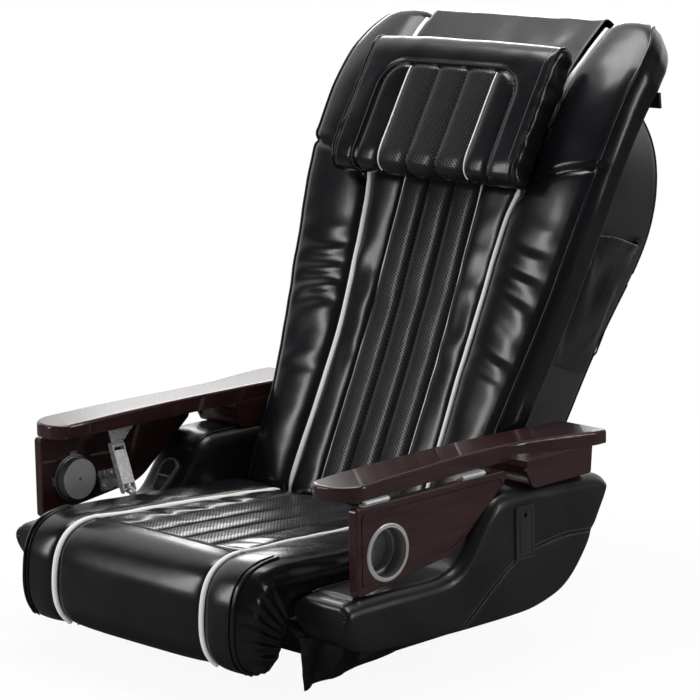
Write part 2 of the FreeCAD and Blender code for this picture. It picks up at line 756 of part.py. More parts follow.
def stay_plate():
    """Four-screw plate on the tray's inner face, with two ears and the pin of the lower link."""
    face = tray_inner
    y = stay_y
    z = stay_tray_z
    outline = [(y - 4, z - 30, 4), (y + 24, z - 30, 4), (y + 24, z + 5, 4), (y - 12, z + 5, 4)]
    pieces = [plate_x(outline, face - 2.2, face)]
    for side in (-1, 1):
        low, high = sorted((y + side * (3.0 + running_gap), y + side * 6.0))
        pieces.append(plate_y([(face - 1, z - 7, 0), (stay_tray_x - 4.2, z - 4.2, 4), (stay_tray_x - 4.2, z + 4.2, 4),
                               (face - 1, z + 5, 0)], low, high))
    pieces.append(rod((stay_tray_x, y - 7.5, z), (stay_tray_x, y + 7.5, z), stay_pin))
    for across, up in ((-7.5, 0.0), (19.0, 0.5), (1.0, -25.5), (19.0, -25.5)):
        pieces.append(rod((face - 4.2, y + across, z + up), (face - 2, y + across, z + up), 2.6))
    return pieces[0].fuse(pieces[1:]).removeSplitter()


# Back: one curve in the side view carries every section

back_points = [(76, 82), (127, 192), (220, 392), (314, 622), (415, 792), (514, 878)]
back_curve = Part.BSplineCurve()
back_curve.interpolate([V(0, y, z) for y, z in back_points])


def back_at(share, depth):
    """Point, direction up the back and outward normal at a share of the curve, sunk by a depth."""
    first = back_curve.FirstParameter
    last = back_curve.LastParameter
    value = first + share * (last - first)
    along = back_curve.tangent(value)[0]
    normal = V(0, -along.z, along.y)
    return back_curve.value(value) - normal * depth, along, normal


def share_at_height(z):
    """The share of the curve at which it reaches a height."""
    low = 0.0
    high = 1.0
    for step in range(40):
        middle = (low + high) / 2
        if back_at(middle, 0)[0].z < z:
            low = middle
        else:
            high = middle
    return (low + high) / 2


def half_width_at(z):
    """Half width of the back: narrow between the arms, wide at the shoulders, round at the top."""
    stops = [(82, back_waist), (245, back_waist + 1), (300, back_waist + 8), (336, back_waist + 15),
             (390, back_waist + 24), (464, back_waist + 38), (530, back_shoulder - 20),
             (592, back_shoulder - 11), (676, back_shoulder - 4),
             (742, back_shoulder), (808, back_shoulder), (842, back_shoulder - 10), (862, back_shoulder - 24),
             (878, back_shoulder - 52)]
    for (z_low, w_low), (z_high, w_high) in zip(stops, stops[1:]):
        if z <= z_high:
            part = max(0.0, (z - z_low) / (z_high - z_low))
            return w_low + (w_high - w_low) * part
    return stops[-1][1]


def back_section(share, front, depth, spread):
    """A rounded section across the back: from `front` before the curve to `depth` behind it."""
    point, along, normal = back_at(share, 0)
    wide = half_width_at(point.z) + spread
    corners = [(-wide, front, 20), (wide, front, 20), (wide - 12, -depth, 12), (-wide + 12, -depth, 12)]
    return rounded_wire(corners, lambda u, v: point + X_AXIS * u + normal * v)


cushion_shares = [0.0, 0.1, 0.2, 0.3, 0.4, 0.5, 0.6, 0.7, 0.8, 0.88, 0.94, 0.975, 1.0]


def back_cushion():
    wires = []
    for share in cushion_shares:
        drawn = 8.0 if share == 1.0 else 0.0
        wires.append(back_section(share, -drawn / 2, back_thickness - drawn, -drawn))
    return Part.makeLoft(wires, True, False)


def cushion_space(gap):
    """The room that the cushion takes, with a gap behind it."""
    wires = [back_section(share, 30.0, back_thickness + gap, 12.0) for share in cushion_shares]
    return Part.makeLoft(wires, True, False)


# Rows of the housing from the bottom up: height, front, rear, and how much narrower than the
# back's waist each half is at the front and at the rear
shell_rows = [(114, 150, 316, 19, 43), (232, 210, 420, 15, 35), (359, 262, 502, 5, 29),
              (455, 300, 576, -7, 25), (532, 330, 622, -17, 25), (612, 362, 638, -23, 27),
              (677, 395, 628, -21, 33), (732, 428, 598, -13, 49), (770, 458, 562, 3, 77)]


def shell_loft(grow, lead=0.0):
    """Bulging housing behind the cushion, swelled by `grow` and carried forward by `lead`."""
    wires = []
    for z, row_front, rear, less_front, less_rear in shell_rows:
        front = row_front - lead
        wide_front = back_waist - less_front
        wide_rear = back_waist - less_rear
        corners = [(-wide_front - grow, front, 0), (-wide_rear - grow, rear - 46 + grow, 60),
                   (-wide_rear * 0.55, rear + grow, 70), (wide_rear * 0.55, rear + grow, 70),
                   (wide_rear + grow, rear - 46 + grow, 60), (wide_front + grow, front, 0)]
        wires.append(rounded_wire(corners, flat_xy(z)))
    return Part.makeLoft(wires, True, False)


def shell_pieces():
    """Side surround and rear cover of the housing, parted along a seam, open at the bottom."""
    roof = box((-400, 0, shell_rows[-1][0] - shell_wall), (400, 800, 1000))
    hollow = shell_loft(-shell_wall, 5.0).cut(roof)
    shell = shell_loft(0.0).cut(hollow).cut(cushion_space(soft_gap + 0.6))
    seam = [(row[2] - shell_seam, row[0]) for row in shell_rows]
    border = [V(-400, seam[0][0], 0)] + [V(-400, y, z) for y, z in seam] + [V(-400, seam[-1][0], 1000)]
    border += [V(-400, 1000, 1000), V(-400, 1000, 0)]
    region = Part.Face(Part.makePolygon(border + [border[0]])).extrude(V(800, 0, 0))
    wider = region.copy()
    wider.translate(V(0, -0.42, 0))
    return shell.cut(wider), shell.common(region)


def rail_frame():
    """Foot of the massage rails, their direction, the normal towards the sitter and their length."""
    low = back_at(share_at_height(192), 0)[0]
    high = back_at(share_at_height(622), 0)[0]
    along = high.sub(low)
    along.normalize()
    normal = V(0, -along.z, along.y)
    foot = low - normal * rail_depth
    foot = foot + along * ((rail_low - foot.z) / along.z)
    return foot, along, normal, (rail_high - rail_low) / along.z


rail_foot, rail_along, rail_normal, rail_length = rail_frame()


def at_rail(x, up, out):
    return rail_foot + X_AXIS * x + rail_along * up + rail_normal * out


def slab_on_rail(x_low, x_high, up_low, up_high, out_low, out_high, radius=0):
    """A block set square to the rails."""
    corners = [(x_low, up_low, radius), (x_high, up_low, radius),
               (x_high, up_high, radius), (x_low, up_high, radius)]
    face = Part.Face(rounded_wire(corners, lambda u, v: at_rail(u, v, out_low)))
    return face.extrude(rail_normal * (out_high - out_low))


def back_frame():
    """Two side tubes with three cross bars, hinge plates and the recline lever."""
    y = rail_foot.y
    z = rail_foot.z
    bars = []
    half = back_tube / 2
    ear_x = frame_half_width - 6 - running_gap
    for side in (-1, 1):
        low_x, high_x = sorted((side * (back_tube_offset - half), side * (back_tube_offset + half)))
        bars.append(slab_on_rail(low_x, high_x, 0, rail_length, -half, half))
        ear_low, ear_high = sorted((side * ear_x, side * (ear_x - 6)))
        bars.append(plate_x([(hinge_y - 14, hinge_z - 22, 13.9), (hinge_y + 46, hinge_z + 6, 20),
                             (y + 22, z + 2, 10), (y + 34, z + 60, 10), (y + 12, z + 60, 10),
                             (hinge_y + 46, hinge_z + 2, 30), (hinge_y - 14, hinge_z + 14, 13.9)], ear_low, ear_high))
    for up, reach in ((12.0, ear_x), (rail_length - 12, back_tube_offset)):
        bars.append(slab_on_rail(-reach, reach, up - half, up + half, -half, half))
    space = cushion_space(seat_fit)
    hollow = shell_loft(-shell_wall - seat_fit, 5.0)
    for side in (-1, 1):
        low_x, high_x = sorted((side * (back_tube_offset - 2), side * (back_tube_offset + 2)))
        bars.append(slab_on_rail(low_x, high_x, 40, rail_length - 30, half - 1, 120).cut(space))
        for up in (60.0, 300.0, rail_length - 90):
            low_x, high_x = sorted((side * (back_tube_offset + 6), side * (back_waist + 51)))
            tab = slab_on_rail(low_x, high_x, up - 14, up + 14, -4, 0, 6)
            bars.append(tab.common(hollow))
    for x in (-13.0, 7.0):
        bars.append(plate_x([(lever_y - 11, lever_z - 11, 10.9), (lever_y + 24, lever_z - 11, 24), (y + 12, z + 2, 4),
                             (y + 2, z + 24, 4), (y - 14, z + 6, 6), (lever_y + 8, lever_z + 20, 30),
                             (lever_y - 11, lever_z + 11, 10.9)], x, x + 6))
    bars.append(rod((-15, lever_y, lever_z), (15, lever_y, lever_z), lever_pin_radius))
    frame = bars[0].fuse(bars[1:])
    hole = rod((-ear_x - 1, hinge_y, hinge_z), (ear_x + 1, hinge_y, hinge_z), hinge_pin_radius + 0.1)
    return frame.cut(hole).removeSplitter()


actuator_start = V(0, actuator_y, actuator_z)
actuator_along = V(0, lever_y, lever_z).sub(actuator_start)
actuator_length = actuator_along.Length
actuator_along.normalize()


def recline_actuator():
    """Motor, gearbox and tube on the seat frame's clevis."""
    start = actuator_start
    along = actuator_along
    eye = rod((-6.7, actuator_y, actuator_z), (6.7, actuator_y, actuator_z), 8.5)
    neck = Part.makeCylinder(6.4, 22, start, along)
    gearbox = Part.makeCylinder(14.2, 34, start + along * 20, along)
    tube = Part.makeCylinder(12, 118, start + along * 18, along)
    motor = rod((0, actuator_y + 40, actuator_z - 1), (52, actuator_y + 40, actuator_z - 1), 12.5)
    bore = Part.makeCylinder(lever_pin_radius + running_gap, 106, start + along * 56, along)
    hole = rod((-7, actuator_y, actuator_z), (7, actuator_y, actuator_z), 5.1)
    return eye.fuse([neck, tube, gearbox, motor]).cut(bore).cut(hole).removeSplitter()


def actuator_pin():
    return rod((-14, actuator_y, actuator_z), (14, actuator_y, actuator_z), 5.0)


def recline_rod():
    """Rod with an eye that has play round the lever's pin."""
    bar = Part.makeCylinder(lever_pin_radius, actuator_length - 94, actuator_start + actuator_along * 85,
                            actuator_along)
    eye = rod((-6.7, lever_y, lever_z), (6.7, lever_y, lever_z), 12.5)
    hole = rod((-7, lever_y, lever_z), (7, lever_y, lever_z), lever_pin_radius + eye_clearance)
    return bar.fuse(eye).cut(hole).removeSplitter()


# Massage unit inside the back

def massage_rails():
    """Two guide rails between end blocks, which sit on the back frame's cross bars."""
    low = 12 + back_tube / 2
    high = rail_length - low
    pieces = []
    for up in (low, high - 14):
        block = slab_on_rail(-rail_offset - 16, rail_offset + 16, up, up + 14, -12, 12, 4)
        hole = Part.makeCylinder(screw_radius + 0.1, 20, at_rail(0, up - 3, 0), rail_along)
        pieces.append(block.cut(hole))
    for side in (-1, 1):
        pieces.append(Part.makeCylinder(rail_radius, high - low, at_rail(side * rail_offset, low, 0), rail_along))
    return pieces[0].fuse(pieces[1:]).removeSplitter()


def lead_screw():
    """Screw that carries the carriage, with a collar above the lower end block."""
    screw = Part.makeCylinder(screw_radius, rail_length - 56, at_rail(0, 28, 0), rail_along)
    collar = Part.makeCylinder(screw_radius + 3, 6, at_rail(0, 38.5, 0), rail_along)
    return screw.fuse(collar).removeSplitter()


def massage_motor():
    """Motor behind the lower end block that drives the screw."""
    can = Part.makeCylinder(19, 64, at_rail(34, 24, -34), rail_along)
    flange = slab_on_rail(-14, 56, 24, 32, -52, -12, 6)
    return can.fuse(flange).removeSplitter()


roller_out = rail_depth - back_thickness - roller_radius - 16.0


def massage_carriage():
    """Carriage on the rails with two rocker arms that carry the roller axles."""
    low = carriage_up - carriage_height / 2
    high = carriage_up + carriage_height / 2
    pieces = [slab_on_rail(-rail_offset - 18, rail_offset + 18, low + 20, high - 20, -14, 14, 8)]
    for side in (-1, 1):
        pieces.append(Part.makeCylinder(rail_radius + 7, carriage_height - 20,
                                        at_rail(side * rail_offset, low + 10, 0), rail_along))
        x = min(side * 35.0, side * 40.0)
        out = roller_out
        rocker = [(carriage_up - 46, out - 8, 7.9), (carriage_up - 46, out + 8, 7.9), (carriage_up - 12, out - 4, 20),
                  (carriage_up + 12, out - 4, 20), (carriage_up + 46, out + 8, 7.9), (carriage_up + 46, out - 8, 7.9),
                  (carriage_up + 14, 10, 10), (carriage_up - 14, 10, 10)]
        pieces.append(Part.Face(rounded_wire(rocker, lambda u, v: at_rail(x, u, v))).extrude(V(5, 0, 0)))
    wide = rail_radius + running_gap
    cuts = [Part.makeCylinder(wide, carriage_height, at_rail(side * rail_offset, low, 0), rail_along)
            for side in (-1, 1)]
    cuts.append(Part.makeCylinder(screw_radius + running_gap, carriage_height, at_rail(0, low, 0), rail_along))
    for up in (carriage_up - 38, carriage_up + 38):
        cuts.append(rod(at_rail(-60, up, roller_out), at_rail(60, up, roller_out), 4.05))
    return pieces[0].fuse(pieces[1:]).cut(cuts).removeSplitter()


def massage_rollers(up):
    """Two barrel rollers fixed on one axle."""
    reach = 42 + roller_width + 4
    pieces = [rod(at_rail(-reach, up, roller_out), at_rail(reach, up, roller_out), 4.0)]
    for side in (-1, 1):
        start = at_rail(side * 42, up, roller_out)
        end = at_rail(side * (42 + roller_width), up, roller_out)
        barrel = Part.makeCylinder(roller_radius, roller_width, start, end.sub(start))
        barrel = softened(barrel, 6.0, lambda edge: edge.BoundBox.XLength < 0.01)
        pieces.append(barrel)
    return pieces[0].fuse(pieces[1:]).removeSplitter()


# Soft pieces on the back

def pillow_flap():
    """Leather flap that hangs over the top of the back, behind the pillow."""
    steps = 14
    front = []
    rear = []
    for i in range(steps + 1):
        share = flap_low + (0.985 - flap_low) * i / steps
        front.append(back_at(share, -3.6)[0])
        rear.append(back_at(share, -0.4)[0])
    point, along, normal = back_at(1.0, 0)
    deep = back_thickness + 14
    corners = [point + along * 4.2 + normal * 2, point + along * 4.2 - normal * deep,
               point + along * 0.8 - normal * deep, point + along * 0.8 - normal * 2]
    outer = Part.BSplineCurve()
    outer.interpolate(front)
    inner = Part.BSplineCurve()
    inner.interpolate(rear)
    path = [front[-1]] + corners + [rear[-1]]
    edges = [outer.toShape()]
    edges += [Part.LineSegment(a, b).toShape() for a, b in zip(path, path[1:])]
    edges += [inner.toShape(), Part.LineSegment(rear[0], front[0]).toShape()]
    face = Part.Face(Part.Wire(Part.__sortEdges__(edges)))
    face.translate(V(-flap_half_width, 0, 0))
    return face.extrude(V(2 * flap_half_width, 0, 0))


def headrest_pillow():
    """Thick pillow, its rear face tangent to the flap so that it can slide up and down."""
    point, along, normal = back_at(pillow_share, 0)
    rear = 4.6
    front = rear + pillow_thickness
    half = pillow_height / 2
    corners = [(-half + 6, rear, 10), (half - 8, rear, 10), (half, front - 22, 18), (half - 16, front, 20),
               (-half + 20, front, 26), (-half, front - 26, 22)]

    def place(u, v):
        return V(-pillow_half_width, 0, 0) + point + along * u + normal * v
    solid = Part.Face(rounded_wire(corners, place)).extrude(V(2 * pillow_half_width, 0, 0))
    return softened(solid, 9.0, edges_at_x(-pillow_half_width, pillow_half_width))


def side_pouch():
    """Open-topped pouch that follows the left side of the housing."""
    outline = [(276, 340, 10), (392, 299, 14), (420, 352, 60), (455, 418, 60), (517, 500, 8), (456, 521, 200),
               (366, 543, 6), (318, 430, 200)]
    inside = [(282, 345, 8), (389, 307, 12), (415, 356, 58), (450, 421, 58), (540, 540, 0), (380, 580, 0),
              (322, 429, 200)]
    outer = plate_x(outline, 200, 340).common(shell_loft(pouch_depth, 16.0)).cut(shell_loft(seat_fit))
    layer = shell_loft(pouch_depth - pouch_wall, 12.0).cut(shell_loft(pouch_wall, 8.0))
    return outer.cut(plate_x(inside, 200, 340).common(layer))


def strap_buckle():
    """Small side-release buckle that draws the cover to the housing at the top left."""
    point, along, normal = back_at(0.85, back_thickness + 7 + soft_gap)
    x = back_waist + 33
    corners = [(-14, -7, 3), (14, -7, 3), (14, 7, 3), (-14, 7, 3)]
    face = Part.Face(rounded_wire(corners, lambda u, v: point + X_AXIS * x + along * u + normal * v))
    return face.extrude(V(7, 0, 0))


def main():
    os.makedirs("parts", exist_ok=True)
    lower = {"base_frame": base_frame(), "cable_gland": cable_gland(), "control_box": control_box(),
             "slide_tracks": slide_tracks(), "slide_actuator": slide_actuator()}
    for name, shape in lower.items():
        save(name, shape, V(0, 0, 0))

    pocket = plate_x(door_corners(door_frame - 2 - door_gap, 2),
                     panel_outer - door_depth - door_gap, panel_outer + 1)
    panel = side_panel()
    surround, cover = shell_pieces()
    upper = {"slide_runners": slide_runners(), "slide_rod": slide_rod(), "seat_frame": seat_frame(),
             "seat_pan": seat_pan(), "seat_cushion": seat_cushion(), "hinge_pins": hinge_pins(),
             "arm_pivot_pins": arm_pivot_pins(), "arm_bumpers": arm_bumpers(),
             "side_panel_left": panel.cut([pocket] + arm_bumpers(seat_fit)),
             "side_panel_right": mirrored(panel).cut([teardrop(-seat_fit, -pod_sink, 20)] + arm_bumpers(seat_fit)),
             "door_liner": door_liner(), "access_door": access_door(),
             "control_pod": control_pod(), "control_paddle": control_paddle(),
             "back_cushion": back_cushion(), "shell_surround": surround, "shell_cover": cover,
             "back_frame": back_frame(), "recline_actuator": recline_actuator(), "actuator_pin": actuator_pin(),
             "recline_rod": recline_rod(), "massage_rails": massage_rails(), "lead_screw": lead_screw(),
             "massage_motor": massage_motor(), "massage_carriage": massage_carriage(),
             "massage_rollers_lower": massage_rollers(carriage_up - 38),
             "massage_rollers_upper": massage_rollers(carriage_up + 38), "pillow_flap": pillow_flap(),
             "headrest_pillow": headrest_pillow(), "side_pouch": side_pouch(), "strap_buckle": strap_buckle()}
    on_deck = V(0, -seat_forward, deck)
    for name, shape in upper.items():
        save(name, shape, on_deck)

    pairs = {"side_skirt": side_skirt(), "arm_bracket": arm_bracket(), "armrest_board": arm_board(),
             "arm_block": arm_block(), "manicure_tray": manicure_tray(), "cup_holder": cup_holder(),
             "stay_bracket": stay_bracket(), "stay_upper_link": stay_upper_link(),
             "stay_lower_link": stay_lower_link(), "stay_plate": stay_plate(),
             "tray_hinge_fixed": Part.makeCompound(tray_hinge_leaves(False)),
             "tray_hinge_moving": Part.makeCompound(tray_hinge_leaves(True))}
    for name, shape in pairs.items():
        save(name + "_left", shape, on_deck)
        save(name + "_right", mirrored(shape), on_deck)


main()
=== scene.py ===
import bpy, bmesh, math
import numpy as np
from types import SimpleNamespace
from mathutils.bvhtree import BVHTree
from mathutils import Matrix, Vector, noise


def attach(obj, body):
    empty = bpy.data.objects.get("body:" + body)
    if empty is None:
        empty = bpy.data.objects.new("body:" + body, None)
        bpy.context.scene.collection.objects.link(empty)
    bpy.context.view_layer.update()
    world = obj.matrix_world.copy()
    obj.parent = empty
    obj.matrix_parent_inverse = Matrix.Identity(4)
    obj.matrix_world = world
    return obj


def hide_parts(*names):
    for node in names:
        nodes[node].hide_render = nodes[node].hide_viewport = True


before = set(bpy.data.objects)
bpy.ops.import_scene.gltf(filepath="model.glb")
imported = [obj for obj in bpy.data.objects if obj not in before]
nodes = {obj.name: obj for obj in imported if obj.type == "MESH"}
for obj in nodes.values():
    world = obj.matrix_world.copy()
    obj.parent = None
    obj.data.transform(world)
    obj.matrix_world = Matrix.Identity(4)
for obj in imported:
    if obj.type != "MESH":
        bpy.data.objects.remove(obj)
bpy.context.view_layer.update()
scene = bpy.context.scene
scene.view_settings.view_transform = "Standard"

# Camera: it stands in front of the sitter's left arm, a little above the seat, and looks
# at the chair through a long lens.
camera = bpy.data.objects.new("camera", bpy.data.cameras.new("camera"))
scene.collection.objects.link(camera)
camera.data.lens = 149.816
camera.data.sensor_width = 36.0
camera.data.sensor_fit = "HORIZONTAL"
camera.data.clip_end = 50.0
camera.matrix_world = Matrix(((0.709364, -0.123159, 0.693997, 3.31096),
                              (0.704634, 0.147841, -0.693997, -3.28091),
                              (-0.017129, 0.981310, 0.191656, 1.35722),
                              (0.0, 0.0, 0.0, 1.0)))
scene.camera = camera


# Studio: a pale floor that turns white away from the chair and shows dark grey in reflections,
# as painted shade on the chair's lower faces, a room that is white behind it and dark elsewhere,
# and four soft boxes: overhead, in front, at the side and behind.
class Link:
    """A socket of a shader; an expression on it adds the Math nodes."""

    def __init__(self, shader, socket):
        self.shader = shader
        self.socket = socket

    def maths(self, operation, *values):
        return self.shader.add("ShaderNodeMath", {"operation": operation}, dict(enumerate(values)))

    def __add__(self, value):
        return self.maths("ADD", self, value)

    def __sub__(self, value):
        return self.maths("SUBTRACT", self, value)

    def __rsub__(self, value):
        return self.maths("SUBTRACT", value, self)

    def __mul__(self, value):
        return self.maths("MULTIPLY", self, value)

    def __truediv__(self, value):
        return self.maths("DIVIDE", self, value)

    def __lt__(self, value):
        return self.maths("LESS_THAN", self, value)

    def __gt__(self, value):
        return self.maths("GREATER_THAN", self, value)

    def __abs__(self):
        return self.maths("ABSOLUTE", self)

    __radd__ = __add__
    __rmul__ = __mul__

    def fract(self):
        return self.maths("FRACT", self)

    def ramp(self, low, high, start=0.0, end=1.0):
        """Goes smoothly from start to end while this value goes from low to high."""
        return self.shader.add("ShaderNodeMapRange", {"interpolation_type": "SMOOTHSTEP"},
                               {0: self, 1: low, 2: high, 3: start, 4: end})

    def other(self, output):
        """Another output of the same node."""
        return Link(self.shader, self.socket.node.outputs[output])


class Shader:
    """The nodes of one finish, of the floor or of the room."""

    def __init__(self, tree):
        self.tree = tree
        self.tree.nodes.clear()

    def add(self, kind, settings=None, sockets=None, output=0):
        """Adds a node: its settings first, then the values or links of its sockets."""
        node = self.tree.nodes.new(kind)
        for name, value in (settings or {}).items():
            setattr(node, name, value)
        for name, value in (sockets or {}).items():
            socket = node.inputs[name]
            if isinstance(value, Link):
                self.tree.links.new(value.socket, socket)
            elif isinstance(value, tuple) and len(value) == 3 and len(socket.default_value) == 4:
                socket.default_value = (*value, 1.0)
            else:
                socket.default_value = value
        return Link(self, node.outputs[output]) if node.outputs else None

    def mix(self, share, first, second):
        """First colour turning to the second as share goes from 0 to 1."""
        return self.add("ShaderNodeMix", {"data_type": "RGBA"}, {0: share, 6: first, 7: second}, 2)

    def noise(self, place, scale, detail=2.0, roughness=0.5):
        return self.add("ShaderNodeTexNoise", {}, {"Vector": place, "Scale": scale,
                                                   "Detail": detail, "Roughness": roughness})


def finished(name, mesh, material=None):
    """Turns a bmesh into an object at the origin."""
    data = bpy.data.meshes.new(name)
    mesh.to_mesh(data)
    mesh.free()
    piece = bpy.data.objects.new(name, data)
    scene.collection.objects.link(piece)
    if material:
        data.materials.append(material)
    return piece


world = bpy.data.worlds.new("room")
world.use_nodes = True
scene.world = world
room = Shader(world.node_tree)
ray = room.add("ShaderNodeLightPath")
seen = ray.maths("MAXIMUM", ray, ray.other("Is Transmission Ray"))
mirrored = ray.other("Is Glossy Ray")
direction = room.add("ShaderNodeTexCoord", output=0)
behind = room.add("ShaderNodeVectorMath", {"operation": "DOT_PRODUCT"},
                  {0: direction, 1: (-0.68, 0.68, 0.27)}, output=1)
backdrop = behind.ramp(0.36, 0.76, 0.045, 1.0)
strength = seen + (1.0 - seen) * (mirrored * backdrop + (1.0 - mirrored) * 0.36)
glow = room.add("ShaderNodeBackground", {}, {"Color": (1.0, 1.0, 1.0), "Strength": strength})
room.add("ShaderNodeOutputWorld", {}, {0: glow})

for name, place, target, size, watts in (
        ("box_overhead", (-0.1, 0.3, 2.7), (0.0, 0.0, 0.4), (2.3, 0.9), 44.0),
        ("box_front", (-1.9, -2.7, 1.45), (0.0, -0.3, 0.35), (0.55, 1.9), 28.0),
        ("box_side", (2.9, 1.6, 1.3), (0.1, 0.2, 0.5), (0.35, 1.7), 16.0),
        ("box_rear", (-1.7, 1.9, 1.5), (0.0, -0.1, 0.2), (1.7, 0.9), 30.0)):
    lamp = bpy.data.lights.new(name, "AREA")
    lamp.shape = "RECTANGLE"
    lamp.size, lamp.size_y = size
    lamp.energy = watts
    holder = bpy.data.objects.new(name, lamp)
    scene.collection.objects.link(holder)
    holder.location = place
    holder.rotation_euler = (Vector(place) - Vector(target)).to_track_quat("Z", "Y").to_euler()

paper = bpy.data.materials.new("paper")
paper.use_nodes = True
sweep = Shader(paper.node_tree)
ray = sweep.add("ShaderNodeLightPath")
pale = sweep.add("ShaderNodeBsdfDiffuse", {}, {"Color": (0.86, 0.86, 0.86)})
# Reflections see the floor dark grey: painted shade on the chair's lower faces.
reflected_shade = sweep.add("ShaderNodeBsdfDiffuse", {}, {"Color": (0.15, 0.15, 0.15)})
floor_with_reflected_shade = sweep.add("ShaderNodeMixShader", {}, {0: ray.other("Is Glossy Ray"), 1: pale, 2: reflected_shade})
lit = sweep.add("ShaderNodeEmission", {}, {"Color": (1.0, 1.0, 1.0), "Strength": 1.0})
spot = sweep.add("ShaderNodeTexCoord", output=3)
away = sweep.add("ShaderNodeVectorMath", {"operation": "LENGTH"}, {0: spot}, output=1)
clear = ray * away.ramp(0.7, 1.7, 0.93, 1.0)
blend = sweep.add("ShaderNodeMixShader", {}, {0: clear, 1: floor_with_reflected_shade, 2: lit})
sweep.add("ShaderNodeOutputMaterial", {}, {0: blend})

floor_mesh = bmesh.new()
bmesh.ops.create_grid(floor_mesh, x_segments=2, y_segments=2, size=7.0)
bmesh.ops.translate(floor_mesh, vec=(0.0, 0.0, -0.0015), verts=floor_mesh.verts)
floor = finished("floor", floor_mesh, paper)


# Base frame, control box and cable gland: welded square tube with a satin black powder coat,
# a folded grey case with cooling slots, and a moulded gland screwed into the rear member.
class Finish(Shader):
    """A surface finish on its own material. Patterns read the piece's own coordinates, in metres."""

    def __init__(self, name):
        self.material = bpy.data.materials.new(name)
        self.material.use_nodes = True
        super().__init__(self.material.node_tree)
        self.place = self.add("ShaderNodeTexCoord", output=3)

    def stretched(self, scale):
        return self.add("ShaderNodeMapping", {}, {"Vector": self.place, "Scale": scale})

    def close(self, colour, roughness, height, depth, **fixed):
        """Ends the nodes: height is the relief, depth its full size, fixed the other sockets."""
        sockets = {"Base Color": colour, "Roughness": roughness}
        for name, value in fixed.items():
            sockets[name.replace("_", " ").title().replace("Ior", "IOR")] = value
        sockets["Normal"] = self.add("ShaderNodeBump", {}, {"Height": height, "Distance": depth,
                                                            "Strength": 1.0})
        surface = self.add("ShaderNodeBsdfPrincipled", {}, sockets)
        self.add("ShaderNodeOutputMaterial", {}, {0: surface})
        return self.material


def plain_finish(name, dark, light, roughness, cloud, depth, grain=None, **fixed):
    """A finish whose colour and roughness drift in clouds. roughness is its least and what the
    clouds add, cloud their scale and detail. Its bumps have the grain's scale, or are the clouds."""
    finish = Finish(name)
    drift = finish.noise(finish.place, *cloud)
    bumps = finish.noise(finish.place, grain) if grain else drift
    return finish.close(finish.mix(drift, dark, light), roughness[0] + drift * roughness[1], bumps,
                        depth, **fixed)


def wears(material, *names):
    """Gives a material to CAD nodes that keep their own shape."""
    for name in names:
        node = nodes[name]
        if not node.material_slots:
            node.data.materials.append(material)
        for place in node.material_slots:
            place.material = material


powder_coat = plain_finish("powder_coat", (0.022, 0.022, 0.024), (0.034, 0.034, 0.036),
                           (0.38, 0.16), (14.0, 4.0), 0.00012, 900.0)
grey_moulding = plain_finish("grey_moulding", (0.20, 0.20, 0.205), (0.27, 0.27, 0.275),
                             (0.46, 0.12), (9.0, 3.0), 0.0001, 1300.0)
black_moulding = plain_finish("black_moulding", (0.016, 0.016, 0.018), (0.028, 0.028, 0.030),
                              (0.30, 0.15), (20.0, 3.0), 0.00008, 1500.0)
wears(powder_coat, "base_frame")
wears(grey_moulding, "control_box")
wears(black_moulding, "cable_gland")


# Slide: rolled steel tracks, the runners that hang in them and the actuator whose ground rod
# drives them. The steel is bright zinc with fine drawing lines along its length.
zinc = Finish("bright_zinc")
lines = zinc.noise(zinc.stretched((900.0, 9.0, 900.0)), 1.0, 3.0)
cloud = zinc.noise(zinc.place, 30.0, 3.0)
bright_zinc = zinc.close(zinc.mix(cloud, (0.66, 0.66, 0.67), (0.82, 0.82, 0.83)),
                         0.24 + lines * 0.16 + cloud * 0.08, lines, 0.00006, metallic=0.8)
wears(bright_zinc, "slide_tracks", "slide_runners", "slide_rod")
wears(powder_coat, "slide_actuator")


# Seat frame and pan: the welded frame has the base's black powder coat, and the pan on it is
# nine-ply birch board with air holes, its layers showing at the edges.
birch = Finish("birch_ply")
grain = birch.noise(birch.stretched((90.0, 6.0, 90.0)), 1.0, 4.0)
ply = birch.add("ShaderNodeTexWave", {"bands_direction": "Z"},
                {"Vector": birch.place, "Scale": 175.0, "Distortion": 0.4})
facing = birch.add("ShaderNodeNewGeometry", output=1)
upright = 1.0 - abs(birch.add("ShaderNodeSeparateXYZ", {}, {0: facing}, output=2))
veneer = birch.mix(grain, (0.36, 0.25, 0.15), (0.48, 0.35, 0.22))
layers = birch.mix(ply, (0.14, 0.09, 0.05), (0.30, 0.22, 0.14))
birch_ply = birch.close(birch.mix(upright.ramp(0.3, 0.6), veneer, layers), 0.55 + grain * 0.2,
                        grain, 0.0002)
wears(powder_coat, "seat_frame")
wears(birch_ply, "seat_pan")
wears(bright_zinc, "hinge_pins")


# Seat cushion: moulded foam under glossy black leather. The plain front rolls down over the
# frame; behind the cross seam three perforated channels run to the back between plain strips.
# Cream piping runs from the roll to the back on both sides.
def spline(at, stops, rows):
    """A smooth curve through the rows of values at the stops, read at every number in at."""
    stops = np.asarray(stops, float)
    rows = np.asarray(rows, float).reshape(len(stops), -1)
    count = len(stops)
    gap = np.diff(stops)
    system = np.eye(count)
    right = np.zeros(rows.shape)
    for i in range(1, count - 1):
        system[i, i - 1:i + 2] = gap[i - 1], 2 * (gap[i - 1] + gap[i]), gap[i]
        right[i] = 6 * ((rows[i + 1] - rows[i]) / gap[i] - (rows[i] - rows[i - 1]) / gap[i - 1])
    bend = np.linalg.solve(system, right)
    i = np.clip(np.searchsorted(stops, at) - 1, 0, count - 2)
    size = gap[i][:, None]
    after = (np.asarray(at) - stops[i])[:, None] / size
    before = 1.0 - after
    bent = (before ** 3 - before) * bend[i] + (after ** 3 - after) * bend[i + 1]
    return before * rows[i] + after * rows[i + 1] + bent * size ** 2 / 6


def run_along(path):
    """How far along a path each of its points lies."""
    return np.concatenate([[0.0], np.cumsum(np.linalg.norm(np.diff(path, axis=0), axis=1))])


